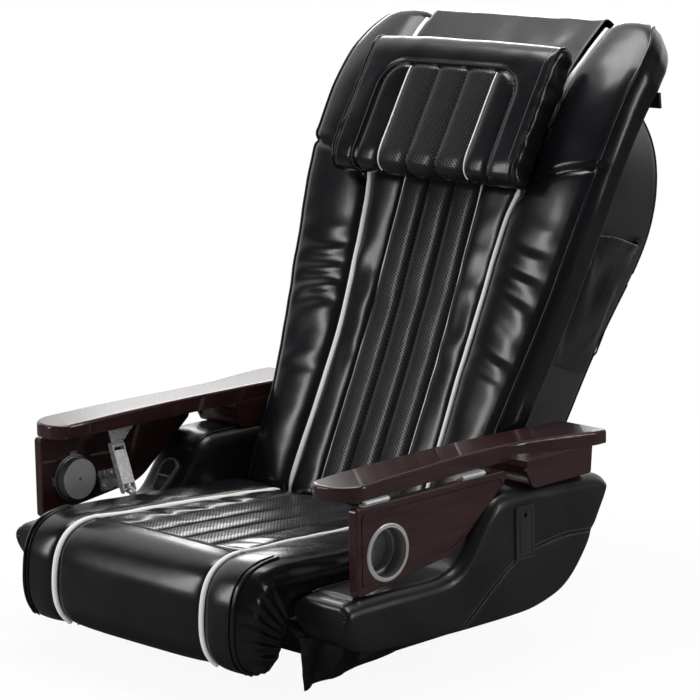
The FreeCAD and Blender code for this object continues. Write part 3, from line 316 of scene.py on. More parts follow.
def smoothed(marks, rows, *paths):
    """Smooth curves through points at the same marks, each read at evenly spaced rows."""
    return [spline(np.linspace(0, marks[-1], rows), marks, path) for path in paths]


def section(half, thick, knots, radii, counts, ends):
    """One closed round of a cushion, from the middle of its underside: how far across and how
    high above the underside each point is, and the first and last columns of its top. knots are
    the seams across the top, with counts columns between them; radii are the roundings of its
    front and rear edges; ends counts the columns of its side, underside and corners."""
    front, rear = (min(radius, thick / 2) for radius in radii)
    side, under, corner = ends
    turn = math.pi / 2 * np.arange(corner) / corner
    across = [-(half - rear) * np.arange(under) / under, -(half - rear) - rear * np.sin(turn),
              np.full(side, -half), -(half - front) - front * np.cos(turn)]
    high = [np.zeros(under), rear - rear * np.cos(turn),
            rear + (thick - rear - front) * np.arange(side) / side,
            thick - front + front * np.sin(turn)]
    left = under + corner + side + corner
    places = [-(half - front), *knots, half - front]
    for start, end, count in zip(places, places[1:], counts):
        part = np.arange(count) / count
        part = 0.4 * part + 0.6 * (1 - np.cos(math.pi * part)) / 2
        across.append(start + (end - start) * part)
        high.append(np.full(count, thick))
    across, high = np.concatenate(across), np.concatenate(high)
    right = len(across)
    across = np.concatenate([across, -across[left:0:-1]])
    high = np.concatenate([high, high[left:0:-1]])
    return across, high, left, right


def grid_of(rows, columns):
    """A flat grid of faces, and the row and column of each of its vertices."""
    mesh = bmesh.new()
    bmesh.ops.create_grid(mesh, x_segments=rows, y_segments=columns, size=0.5)
    mesh.verts.index_update()
    return mesh, [(round((v.co.x + 0.5) * rows), round((v.co.y + 0.5) * columns))
                  for v in mesh.verts]


def close_tube(mesh):
    """Joins a tube's long edges and covers its two ends."""
    bmesh.ops.remove_doubles(mesh, verts=mesh.verts, dist=1e-7)
    bmesh.ops.holes_fill(mesh, edges=[edge for edge in mesh.edges if edge.is_boundary], sides=0)


def outward(points):
    """The normals of a closed cushion's grid of points."""
    round_it = (np.roll(points, -1, axis=1) - np.roll(points, 1, axis=1)) / 2
    normals = np.cross(np.gradient(points, axis=0), round_it)
    normals /= np.maximum(np.linalg.norm(normals, axis=2, keepdims=True), 1e-12)
    from_middle = points - points.mean(axis=1, keepdims=True)
    return normals if (normals * from_middle).sum() >= 0 else -normals


def skin(name, upper, lower, half, knots, shape, swell, trace=None, middle=0.0):
    """A closed cushion between an upper and a lower line in the side view. half and knots give
    each row's half width and seams, shape the rest of its section. swell gives how far each
    point stands off; trace, how far each lies from a seam and along it. Its points are also
    given, with their normals, the length up to each row and the columns of its top's edges."""
    thick = np.linalg.norm(upper - lower, axis=1)
    rounds = [section(*row, *shape) for row in zip(half, thick, knots)]
    left, right = rounds[0][2:]
    share = np.array([item[1] for item in rounds]) / thick[:, None]
    flat = lower[:, None, :] + (upper - lower)[:, None, :] * share[..., None]
    points = np.concatenate([np.array([item[0] for item in rounds])[..., None], flat], axis=2)
    length = run_along(upper)
    step = np.linalg.norm(np.roll(points, -1, axis=1) - points, axis=2)
    girth = np.concatenate([np.zeros((len(upper), 1)), np.cumsum(step, axis=1)], axis=1)
    girth -= girth[:, -1:] / 2
    marks = trace(points, left, right) if trace else None
    points = points + outward(points) * swell(points, length, left, right)[..., None]
    normals = outward(points)
    points[..., 0] += middle
    closed = np.concatenate([points, points[:, :1]], axis=1)
    columns = points.shape[1]
    mesh, cells = grid_of(len(upper) - 1, columns)
    chart = mesh.loops.layers.uv.new("chart")
    seam = mesh.loops.layers.uv.new("seam") if trace else None
    for face in mesh.faces:
        face.smooth = True
        for corner in face.loops:
            i, j = cells[corner.vert.index]
            corner[chart].uv = (girth[i, j], length[i])
            if trace:
                corner[seam].uv = marks[i, j % columns]
    for v, cell in zip(mesh.verts, cells):
        v.co = closed[cell]
    close_tube(mesh)
    bmesh.ops.triangulate(mesh, faces=[face for face in mesh.faces if len(face.verts) > 4])
    bmesh.ops.recalc_face_normals(mesh, faces=mesh.faces)
    return finished(name, mesh), SimpleNamespace(points=points, normals=normals, length=length,
                                                 edge={-1: left, 1: right})


def tucked(half, upper, lower, reach, over):
    """A cushion's half width at each row, drawn in by up to reach where it is thinner than over."""
    thin = np.clip(1 - np.linalg.norm(upper - lower, axis=1) / over, 0, 1)
    return half - reach * (1 - np.sqrt(1 - thin ** 2))


def upper_face(x, left, right, beyond=3):
    """1 on a cushion's top and a few columns beyond its edges, 0 elsewhere."""
    top = np.zeros(x.shape)
    top[:, left - beyond:right + beyond + 1] = 1.0
    return top


def crowned(x, seams, tall, sink, pinched=True):
    """Soft crowns between the seams that run up a cushion. Pinched seams sink twice as deep."""
    out = np.zeros(x.shape)
    for low, high, rise in zip(seams, seams[1:], tall):
        part = np.clip((x - low) / (high - low), 0, 1)
        crown = np.clip(1 - np.abs(2 * part - 1) ** 3.0, 0, 1) ** 0.6
        inside = (x >= low) & ((x <= high) if pinched else (x < high))
        out += inside * (rise * crown - sink)
    return out


def dent(distance, width):
    """A rounded furrow: 1 at its middle, 0 at its width."""
    return np.exp(-(np.abs(distance) / width) ** 1.6)


@np.vectorize
def curl(x, y, z, seed):
    """A soft random height at a place; each seed has its own pattern."""
    return noise.noise(Vector((x, y, z + seed * 17.3)))


def welt(name, path, out, radius, material, body, flat=1.0):
    """A round cord of piping along a path of points, with closed ends. out is which way is up."""
    path = np.asarray(path, float)
    ahead = np.gradient(path, axis=0)
    ahead /= np.linalg.norm(ahead, axis=1, keepdims=True)
    side = np.cross(ahead, out)
    side /= np.linalg.norm(side, axis=1, keepdims=True)
    rise = np.cross(side, ahead)
    facets = 10
    mesh, cells = grid_of(len(path) - 1, facets)
    for v, (i, j) in zip(mesh.verts, cells):
        turn = 2 * math.pi * j / facets
        v.co = path[i] + radius * (side[i] * math.cos(turn) + rise[i] * math.sin(turn) * flat)
    close_tube(mesh)
    for face in mesh.faces:
        face.smooth = True
    bmesh.ops.recalc_face_normals(mesh, faces=mesh.faces)
    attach(finished(name, mesh, material), body)


def piping(name, cover, line, lift, low, high, radius, body, flat=1.0):
    """Cream piping along a cushion's top from low to high, at a distance across from its
    middle. line and lift may change with the row."""
    line, lift = line + 0 * cover.length, lift + 0 * cover.length
    columns = np.arange(cover.edge[-1], cover.edge[1] + 1)
    path, out = [], []
    for i in np.flatnonzero((cover.length >= low) & (cover.length <= high)):
        gap = np.abs(cover.points[i, columns, 0] - line[i])
        near = np.argsort(gap)[:2]
        share = gap[near][::-1] / max(1e-9, gap[near].sum())
        up = share @ cover.normals[i, columns[near]]
        place = share @ cover.points[i, columns[near]]
        place[0] = line[i]
        path.append(place + up * lift[i])
        out.append(up)
    path = np.array(path)
    for turn in range(24):
        path[1:-1] = (path[:-2] + 2 * path[1:-1] + path[2:]) / 4
    welt(name, path, out, radius, cream_piping, body, flat)


def edging(name, cover, rows, columns, lift, radius, material, body):
    """A cord along vertices of a cushion, which are given by their rows and columns."""
    out = cover.normals[rows, columns]
    welt(name, cover.points[rows, columns] + out * lift, out, radius, material, body)


def leather(name, colours, gloss, holes=None, stitches=(), crossing=None, traced=(), coat=0.15):
    """Coated leather: fine grain, soft creases and a sheen that varies. colours are its darkest
    and lightest, gloss its least and most roughness. holes is the half width, start and end of
    the perforated channels. stitches are rows of thread up the piece: how far across, start,
    end and stitch length. crossing is where a seam lies across it and its half width. traced is
    the distances of the thread rows from a seam that the piece's own map traces."""
    hide = Finish(name)
    pores = hide.add("ShaderNodeTexVoronoi", {"feature": "DISTANCE_TO_EDGE"},
                     {"Vector": hide.place, "Scale": 620.0})
    mottle = hide.noise(hide.place, 9.0, 5.0, 0.6)
    creases = hide.noise(hide.place, 30.0, 2.0, 0.5)
    colour = hide.mix(mottle.ramp(0.3, 0.7), *colours)
    roughness = mottle.ramp(0.25, 0.75, *gloss) + creases * 0.03
    height = pores.ramp(0.0, 0.12) * 0.010 + creases * 0.08
    threads = []

    def sewn(gap, reach, pitch):
        """A row of stitches where gap is 0, each a pitch long along reach."""
        near = abs(gap).ramp(0.0004, 0.0011, 1.0, 0.0)
        return near * abs((reach / pitch).fract() - 0.5).ramp(0.30, 0.40, 1.0, 0.0)

    def sunk(height, colour, line, depth):
        """Sinks a seam line and darkens it with painted shade."""
        return height - line * depth, hide.mix(line * 0.8, colour, (0.002, 0.002, 0.002))

    if holes or stitches or crossing:
        chart = hide.add("ShaderNodeUVMap", {"uv_map": "chart"})
        across = hide.add("ShaderNodeSeparateXYZ", {}, {0: chart})
        along = across.other(1)
    if holes:
        half, start, end = holes
        inside = (abs(across) < half) * (along > start) * (along < end)
        turned = hide.add("ShaderNodeMapping", {}, {"Vector": chart, "Scale": (1.0, 1.0, 0.0),
                                                    "Rotation": (0.0, 0.0, math.pi / 4)})
        dots = hide.add("ShaderNodeTexVoronoi", {},
                        {"Vector": turned, "Scale": 1.0 / 0.0050, "Randomness": 0.0})
        hole = inside * dots.ramp(0.24, 0.38, 1.0, 0.0)
        # The perforated area is painted lighter, as sheen, and each hole near black, as painted
        # shade inside it.
        colour = hide.mix(inside, colour, (0.013, 0.013, 0.016))
        colour = hide.mix(hole, colour, (0.0008, 0.0008, 0.0010))
        roughness = roughness + hole * 0.6 + inside * 0.06
        height = height - hole * 1.2
    for place, start, end, pitch in stitches:
        threads.append(sewn(across - place, along, pitch) * (along > start) * (along < end))
    if crossing:
        place, reach = crossing
        line = abs(along - place).ramp(0.0005, 0.0026, 1.0, 0.0) * (abs(across) < reach)
        # The cross seam's furrow is painted darker, as shade.
        height, colour = sunk(height, colour, line, 1.4)
        for ahead in (0.0035, 0.0085):
            threads.append(sewn(along - (place + ahead), across, pitch)
                           * (abs(across) < reach - 0.003))
    if traced:
        gap = hide.add("ShaderNodeSeparateXYZ", {},
                       {0: hide.add("ShaderNodeUVMap", {"uv_map": "seam"})})
        # The traced seam's furrow is painted darker, as shade.
        height, colour = sunk(height, colour, abs(gap).ramp(0.0, 0.0016, 1.0, 0.0), 1.6)
        threads += [sewn(gap - place, gap.other(1), stitch) for place in traced]
    if threads:
        thread = sum(threads[1:], threads[0])
        colour = hide.mix(thread * 0.5, colour, (0.13, 0.13, 0.14))
        roughness = roughness + thread * 0.3
        height = height + thread * 0.25
    return hide.close(colour, roughness, height, 0.001, coat_weight=coat, coat_roughness=0.10,
                      specular_ior_level=0.45)


seat_forward = 0.055
deck = 0.085


def from_seat(rows):
    """Side-view points in the seat frame's millimetres, as points of the row frame in metres."""
    return np.asarray(rows, float) / 1000 + np.array([-seat_forward, deck])


sides = (("left", 1), ("right", -1))
stitch = 0.0055
piping_radius = 0.0050
glossy_black = ((0.0048, 0.0048, 0.0060), (0.0078, 0.0078, 0.0104))
seat_stations = [((65, 72), (65, 68)), ((65, 86), (65, 52)), ((61.5, 101), (60.5, 40.5)),
                 ((47, 106), (47, 38.9)), ((0, 109), (0, 38.9)), ((-80, 114), (-80, 38.9)),
                 ((-160, 118.5), (-160, 38.9)), ((-240, 123), (-235, 38.9)),
                 ((-300, 125.5), (-290, 38.9)), ((-345, 124.5), (-314, 36)),
                 ((-378, 114), (-322, 29)), ((-399, 90), (-325, 19)), ((-408, 50), (-327, 6)),
                 ((-408, 12), (-331, -8)), ((-398, -16), (-341, -22)), ((-384, -30), (-358, -32)),
                 ((-373, -34), (-371, -34))]
upper, lower = (from_seat(path) for path in zip(*seat_stations))
marks = run_along(upper)
upper, lower = smoothed(marks + 0.004 * np.arange(len(marks)), 170, upper, lower)
seat_half = 0.270
seat_under = 16
seat_length = run_along(upper)
cross_seam = float(seat_length[np.argmax(upper[:, 0] < -0.324 - seat_forward)])
seat_piping = np.interp(seat_length, [0.0, 0.06, cross_seam, cross_seam + 0.12, 1.0],
                        [0.149, 0.150, 0.169, 0.173, 0.173])


def seat_swell(points, length, left, right):
    """Channels behind the cross seam, a plain crown before it, pleats, and the gathered ends of
    the front roll."""
    x, up, line = points[..., 0], length[:, None], seat_piping[:, None]
    top = upper_face(x, left, right)
    inner = np.abs(x) < line
    behind = 1 / (1 + np.exp((up - cross_seam + 0.002) / 0.0035))
    plain = np.clip(1 - (np.abs(x) / line) ** 4, 0, 1) ** 0.7
    out = top * inner * (1 - behind) * 0.006 * plain
    out += top * behind * crowned(x, [-line, -0.095, -0.032, 0.032, 0.095, line], [0.0065] * 5,
                                  0.0035)
    band = np.clip((np.abs(x) - line) / (seat_half - line), 0, 1)
    out += top * (~inner) * 0.007 * np.clip(1 - np.abs(2 * band - 0.9) ** 2.5, 0, 1)
    out -= top * 0.0035 * dent(np.abs(x) - line, 0.006)
    out -= top * inner * 0.006 * dent(up - cross_seam, 0.004)
    out += top * inner * 0.0016 * dent(up - cross_seam - 0.006, 0.005)
    near = slice(left - 8, right + 9)
    px = x[:, near]
    tight = np.where((np.abs(px) < 0.095) | (np.abs(px) > line), 0.35, 1.0)
    fade = np.where(up < cross_seam, 1.0, 0.12) * (up <= cross_seam + 0.3)
    out[:, near] += curl(px * 12, up * 30 + px * 26, 0, 1) * 0.0025 * tight * fade
    column = np.arange(x.shape[1])
    share = np.where(column < left, column - seat_under, column - right) / (left - seat_under)
    roll = np.clip((up - cross_seam - 0.01) / 0.05, 0, 1)
    wave = np.sin(up * 2 * math.pi / 0.026 + 3 * curl(up * 12, 0, 0, 5))
    out += roll * (wave * 0.0022 - 0.0045) * np.maximum(0, 1 - np.abs(2 * share - 1))
    return out * np.clip(up / 0.05, 0, 1)


seat, seat_cover = skin("seat_leather", upper, lower, tucked(seat_half, upper, lower, 0.022, 0.05),
                        [[-line, -0.095, -0.032, 0.032, 0.095, line] for line in seat_piping],
                        ((0.026, 0.020), [16, 12, 12, 12, 12, 12, 16], (10, seat_under, 6)),
                        seat_swell)
black_leather_seat = leather("black_leather_seat", glossy_black, (0.19, 0.25),
                             holes=(0.0945, 0.0, cross_seam - 0.006),
                             stitches=[(place, 0.0, cross_seam, stitch)
                                       for place in (-0.0985, 0.0985, 0.0355, -0.0285)],
                             crossing=(cross_seam, 0.169))
seat.data.materials.append(black_leather_seat)
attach(seat, "seat")
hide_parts("seat_cushion")

cream_piping = plain_finish("cream_piping", (0.93, 0.93, 0.89), (0.98, 0.98, 0.95), (0.42, 0.1),
                            (240.0, 3.0), 0.0001)
for side, sign in sides:
    piping("seat_piping_" + side, seat_cover, sign * seat_piping, 0.0060, 0.012,
           seat_length[-1] - 0.008, piping_radius, "seat", 0.75)
for number, ahead in enumerate((0.0040, 0.0085)):
    row = int(np.argmin(np.abs(seat_length - cross_seam - ahead)))
    columns = [j for j in range(seat_cover.edge[-1], seat_cover.edge[1] + 1)
               if abs(seat_cover.points[row, j, 0]) < 0.166]
    edging("seat_topstitch_%d" % (number + 1), seat_cover, row, columns, 0.0004, 0.0009,
           black_moulding, "seat")
rows = np.flatnonzero((seat_length > cross_seam - 0.01) & (seat_length < seat_length[-1] - 0.01))
for side, sign in sides:
    for number, (inward, radius) in enumerate(((0, 0.0026), (3, 0.0011))):
        edging("roll_end_welt_%s_%d" % (side, number + 1), seat_cover, rows,
               seat_cover.edge[sign] - sign * inward, 0.0012, radius, black_leather_seat, "seat")


# Aprons: leather sheets that hang from the seat frame and hide the slide; their front edges
# curl where they are stapled.
def sheet_of(name, rows, columns, place, thick, material):
    """A sheet of leather from a grid, with its thickness behind the face, and its area. place
    gives the point and the flat place of each share across and up it."""
    mesh = bmesh.new()
    bmesh.ops.create_grid(mesh, x_segments=columns, y_segments=rows, size=0.5)
    mesh.verts.index_update()
    chart = mesh.loops.layers.uv.new("chart")
    wanted = [place(v.co.x + 0.5, v.co.y + 0.5) for v in mesh.verts]
    for face in mesh.faces:
        face.smooth = True
        for corner in face.loops:
            corner[chart].uv = wanted[corner.vert.index][1]
    for v, (point, mark) in zip(mesh.verts, wanted):
        v.co = point
    area = sum(face.calc_area() for face in mesh.faces)
    bmesh.ops.recalc_face_normals(mesh, faces=mesh.faces)
    bmesh.ops.solidify(mesh, geom=mesh.faces[:] + mesh.edges[:] + mesh.verts[:], thickness=thick)
    bmesh.ops.recalc_face_normals(mesh, faces=mesh.faces)
    return finished(name, mesh, material), area


def patch(s, t, near, far, first, last):
    """A point of the smooth patch between four edges in the side view: near and far are its
    edges at t = 0 and t = 1, first and last those at s = 0 and s = 1."""
    def read(share, edge):
        return spline([share], np.linspace(0, 1, len(edge)), edge)[0]

    corners = ((1 - s) * (1 - t) * near[0] + s * (1 - t) * near[-1]
               + (1 - s) * t * far[0] + s * t * far[-1])
    return ((1 - t) * read(s, near) + t * read(s, far) + (1 - s) * read(t, first)
            + s * read(t, last) - corners)


apron_edges = [from_seat(edge) for edge in (
    [(-318, 29), (-250, 29), (-185, 28.5), (-168, 14), (-150, 2.5), (101, 1.6)],
    [(-292, -78), (-240, -74), (-190, -70), (-60, -58), (40, -47), (101, -43)],
    [(-318, 29), (-304, 10), (-297, -8), (-294, -40), (-292, -78)],
    [(101, 1.6), (101, -10), (101, -20), (101, -32), (101, -43)])]


def apron_place(s, t, sign):
    y, z = patch(s, t, *apron_edges)
    front = math.exp(-(s / 0.20) ** 2)
    wave = (0.008 * t * math.sin(2 * math.pi * (s * 3.6 + 0.20 * t)) * (0.30 + 0.70 * front)
            + 0.0055 * t * curl(s * 11, t * 2, 0, 51) + 0.0016 * curl(s * 24, t * 8, 0, 52)
            + 0.004 * front * t * math.sin(5 * t))
    return (sign * (0.2625 + wave), y, z), (s * 0.4, t * 0.1)


soft_black = ((0.006, 0.006, 0.007), (0.011, 0.011, 0.013))
apron_leather = leather("apron_leather", soft_black, (0.17, 0.25), coat=0.2)
for side, sign in sides:
    apron, apron_area = sheet_of("apron_leather_" + side, 40, 150,
                                 lambda s, t: apron_place(s, t, sign), 0.0018, apron_leather)
    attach(apron, "seat")
    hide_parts("side_skirt_" + side)


# Side panels: thick boards padded all round and covered in charcoal leather, with a felled
# seam across the outer face and a welt where the inner face meets the top. A black door and
# its liner are let into the left one, and a plated pod with a rocking paddle into the right.
panel_stations = [((-316, 62), (-316, 56)), ((-314.5, 76), (-312, 38)), ((-300, 81), (-303, 20)),
                  ((-270, 81.5), (-284, 4)), ((-200, 80.5), (-230, -5)),
                  ((-120, 79), (-150, -10.5)), ((-84, 83), (-100, -12.5)), ((-56, 100), (-55, -14)),
                  ((-28, 134), (-15, -14.6)), ((-2, 166), (22, -15)), ((22, 181), (60, -15)),
                  ((60, 184.5), (100, -13.5)), ((110, 184), (140, -6)), ((170, 181.5), (180, 10)),
                  ((220, 179), (214, 44)), ((254, 176.5), (242, 88)), ((274, 170), (262, 128)),
                  ((281, 160), (272, 146)), ((281, 152), (277, 149))]
upper, lower = (from_seat(path) for path in zip(*panel_stations))
upper, lower = smoothed(run_along(upper) + run_along(lower), 210, upper, lower)
panel_half = 0.0545
panel_middle = 0.3305
felled_seam = from_seat([(290, 89), (246, 90), (187, 95), (138, 93), (95, 87), (67, 80), (20, 54),
                         (-26, 22), (-68, -10), (-80, -22)])
felled_seam = spline(np.linspace(0, 9, 60), np.arange(10), felled_seam)


def beside(points, path):
    """Signed distance of side-view points from a path, and how far along it they lie."""
    way = np.diff(path, axis=0)
    size = np.linalg.norm(way, axis=1)
    from_start = points[..., None, :] - path[:-1]
    part = np.clip((from_start * way).sum(axis=-1) / size ** 2, 0, 1)
    gap = from_start - part[..., None] * way
    far = np.linalg.norm(gap, axis=-1)
    side = np.sign(way[:, 0] * gap[..., 1] - way[:, 1] * gap[..., 0])
    nearest = far.argmin(axis=-1)[..., None]
    return [np.take_along_axis(values, nearest, axis=-1)[..., 0]
            for values in (far * side, run_along(path)[:-1] + part * size)]


def panel_trace(points, left, right):
    return np.stack(beside(points[..., 1:], felled_seam), axis=2)


def panel_swell(points, length, left, right, with_pod):
    """Full faces and a crowned top, flat round the door's place and sunk under the pod's rim."""
    x, y, z = np.moveaxis(points, 2, 0)
    foot, head = lower[:, None, 1], upper[:, None, 1]
    high = np.clip((z - foot) / np.maximum(head - foot, 0.01), 0, 1)
    belly = np.clip(1 - np.abs(2 * high - 1) ** 2.2, 0, 1)
    furrow = dent(beside(points[..., 1:], felled_seam)[0], 0.008)
    hatch = np.exp(-(((y - 0.022) / 0.050) ** 4 + ((z - 0.203) / 0.075) ** 4))
    outer = np.abs(x) > panel_half - 0.004
    out = outer * (0.0035 * belly - 0.0022 * furrow) * (1 - hatch)
    out += 0.0008 * curl(y * 9, z * 12, x * 9, 41) * (1 - hatch)
    crown = 0.003 * np.clip(1 - (x / panel_half) ** 2, 0, 1)
    out += upper_face(x, left, right) * crown * ((length > 0.05) & (length < 0.66))[:, None]
    pod = np.exp(-((np.hypot(y + 0.088, z - 0.201) / 0.050) ** 6)) * with_pod
    return out * (1 - pod) - 0.0060 * pod


charcoal_leather = leather("charcoal_leather", soft_black, (0.26, 0.36), traced=(0.0035, -0.0035))
for side, sign in sides:
    panel, panel_cover = skin("side_panel_leather_" + side, upper, lower,
                              tucked(panel_half, upper, lower, 0.020, 0.05), [[]] * len(upper),
                              ((0.019, 0.013), [18], (54, 8, 6)),
                              lambda *cover: panel_swell(*cover, with_pod=sign < 0), panel_trace,
                              sign * panel_middle)
    panel.data.materials.append(charcoal_leather)
    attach(panel, "seat")
    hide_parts("side_panel_" + side)
    edging("panel_welt_" + side, panel_cover, slice(12, -8), panel_cover.edge[-sign] - sign,
           0.0003, 0.0026, charcoal_leather, "seat")
chrome_plate = plain_finish("chrome_plate", (0.82, 0.82, 0.84), (0.90, 0.90, 0.92), (0.10, 0.08),
                            (60.0, 3.0), 0.00003, metallic=0.85)
wears(chrome_plate, "control_pod")
wears(black_moulding, "control_paddle", "access_door", "door_liner")


# Armrests: beech boards and rear blocks stained dark wine and lacquered to a high gloss, on
# black brackets that turn on steel pins and come to rest on rubber bumpers.
stain = Finish("wine_lacquer")
fibre = stain.noise(stain.stretched((260.0, 9.0, 120.0)), 1.0, 5.0, 0.6)
flame = stain.noise(stain.stretched((60.0, 3.0, 30.0)), 1.0, 3.0)
stained = stain.mix((fibre * 0.6 + flame * 0.4).ramp(0.3, 0.7), (0.020, 0.0056, 0.0060),
                    (0.046, 0.0145, 0.0155))
wine_lacquer = stain.close(stained, 0.26 + fibre * 0.08, fibre, 0.00005, coat_weight=0.55,
                           coat_roughness=0.03, specular_ior_level=0.35)
black_rubber = plain_finish("black_rubber", (0.014, 0.014, 0.015), (0.030, 0.030, 0.031),
                            (0.62, 0.15), (80.0, 3.0), 0.00015)
for side, sign in sides:
    wears(wine_lacquer, "armrest_board_" + side, "arm_block_" + side)
    wears(powder_coat, "arm_bracket_" + side)
wears(bright_zinc, "arm_pivot_pins")
wears(black_rubber, "arm_bumpers")


# Trays: boards of the armrests' wood on zinc butt hinges. Each has a cup ring of spun
# stainless steel, with turning marks round the cup's own centre and a dark joint, and a deep bowl
# that is painted darker as shade.
spun = Finish("spun_steel")
from_axis = spun.add("ShaderNodeMapping", {}, {"Vector": spun.place, "Scale": (0.0, 1.0, 1.0),
                                               "Location": (0.0, 0.272, -0.228)})
ring = spun.add("ShaderNodeVectorMath", {"operation": "LENGTH"}, {0: from_axis}, output=1)
turning = spun.add("ShaderNodeTexNoise", {"noise_dimensions": "1D"},
                   {"W": ring * 2600.0, "Detail": 2.0})
joint = abs(ring - 0.0365).ramp(0.0006, 0.0020, 1.0, 0.0) + ring.ramp(0.0020, 0.0034, 0.8, 0.0)
bands = abs((ring * 240.0).fract() - 0.5).ramp(0.20, 0.50, 0.0, 0.35)
steel = spun.mix(turning, (0.62, 0.60, 0.59), (0.88, 0.86, 0.85))
steel = spun.mix(joint, spun.mix(bands, steel, (0.36, 0.35, 0.35)), (0.03, 0.03, 0.03))
depth = abs(spun.add("ShaderNodeSeparateXYZ", {}, {0: spun.place}))
# The inside of the bowl is painted dark grey, as shade.
bowl_shade = depth.ramp(0.3364, 0.3374) * depth.ramp(0.3600, 0.3735, 1.0, 0.0)
spun_steel = spun.close(spun.mix(bowl_shade * 0.72, steel, (0.10, 0.10, 0.10)), 0.24 + turning * 0.14,
                        turning, 0.00010, metallic=0.65)
for side, sign in sides:
    wears(wine_lacquer, "manicure_tray_" + side)
    wears(spun_steel, "cup_holder_" + side)
    wears(bright_zinc, "tray_hinge_fixed_" + side, "tray_hinge_moving_" + side)


# Stays: pressed steel links, bracket and plate, nickel plated and barrelled, with four domed
# screw heads on each tray plate.
nickel_plate = plain_finish("nickel_plate", (0.80, 0.80, 0.79), (0.93, 0.93, 0.92), (0.20, 0.14),
                            (90.0, 4.0), 0.00008, metallic=0.55)
for side, sign in sides:
    wears(nickel_plate, "stay_bracket_" + side, "stay_upper_link_" + side,
          "stay_lower_link_" + side, "stay_plate_" + side)
    heads = bmesh.new()
    for y, z in ((-0.2105, 0.2215), (-0.1905, 0.2215), (-0.2065, 0.2005), (-0.1905, 0.2005)):
        made = bmesh.ops.create_uvsphere(heads, u_segments=20, v_segments=10, radius=0.0052)
        bmesh.ops.scale(heads, vec=(0.62, 1.0, 1.0), verts=made["verts"])
        bmesh.ops.translate(heads, vec=(sign * 0.3528, y, z), verts=made["verts"])
    for face in heads.faces:
        face.smooth = True
    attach(finished("stay_screws_" + side, heads, nickel_plate), "tray_" + side)


# Back frame, recline actuator and massage unit: powder-coated steel, with zinc rods, rails and
# lead screw, and a grey moulded carriage and rollers.
wears(powder_coat, "back_frame", "recline_actuator", "massage_motor")
wears(bright_zinc, "actuator_pin", "recline_rod", "massage_rails", "lead_screw")
wears(grey_moulding, "massage_carriage", "massage_rollers_lower", "massage_rollers_upper")


# Back cushion: foam under the seat's black leather, open to the massage rollers behind it. Three
# perforated channels between thin cream lines, a plain strip on each side, cream piping, and
# leather wings that crease where the sitter leans.
front_line = from_seat([(76, 82), (127, 192), (220, 392), (314, 622), (415, 792), (514, 878)])
marks = run_along(front_line)
front_line, = smoothed(marks, 800, front_line)
walk = run_along(front_line)
back_tall = float(walk[-1])
pillow_place = float(np.interp(0.755 * marks[-1], np.linspace(0, marks[-1], 800), walk))


def on_back(distance, out):
    """Points at distances up the back's front face and out from it, in the side view, and the
    directions up and out there."""
    place, ahead, behind = (
        np.array([np.interp(distance + step, walk, front_line[:, k]) for k in (0, 1)]).T
        for step in (0.0, 0.004, -0.004))
    way = ahead - behind
    way /= np.linalg.norm(way, axis=-1, keepdims=True)
    front = np.stack([-way[..., 1], way[..., 0]], axis=-1)
    return place + front * np.asarray(out)[..., None], way, front


back_thick = 0.060
nose = 0.030
turn = np.linspace(0, math.pi / 2, 9)[:-1]
foot_rows = nose * (1 - np.sin(math.pi / 2 - turn))
back_rows = np.concatenate([foot_rows, np.linspace(nose, back_tall - nose, 196),
                            back_tall - foot_rows[::-1]])
squeeze = np.ones(len(back_rows))
squeeze[:8] = np.sin(np.maximum(turn, 0.03))
squeeze[-8:] = squeeze[7::-1]
sink = back_thick / 2 * (1 - squeeze)
upper = on_back(back_rows, -sink)[0]
lower = on_back(back_rows, -back_thick + sink)[0]
back_high = np.interp(back_rows, walk, front_line[:, 1]) - deck
back_half = np.interp(back_high, *zip(
    (0.082, 0.264), (0.245, 0.269), (0.300, 0.277), (0.336, 0.283), (0.390, 0.293),
    (0.464, 0.306), (0.530, 0.315), (0.592, 0.3245), (0.676, 0.332), (0.742, 0.3355),
    (0.808, 0.3355), (0.842, 0.326), (0.862, 0.311), (0.880, 0.284)))
for turn in range(4):
    back_half[1:-1] = (back_half[:-2] + 2 * back_half[1:-1] + back_half[2:]) / 4
from_corner = np.clip(1 - back_rows / 0.034, 0, 1)
back_half = back_half - 0.030 * (1 - np.sqrt(1 - from_corner ** 2))
back_piping = np.interp(back_high, *zip(
    (0.082, 0.157), (0.200, 0.153), (0.320, 0.150), (0.420, 0.154), (0.500, 0.158),
    (0.570, 0.164), (0.620, 0.174), (0.700, 0.186), (0.780, 0.194), (0.840, 0.203),
    (0.880, 0.208)))


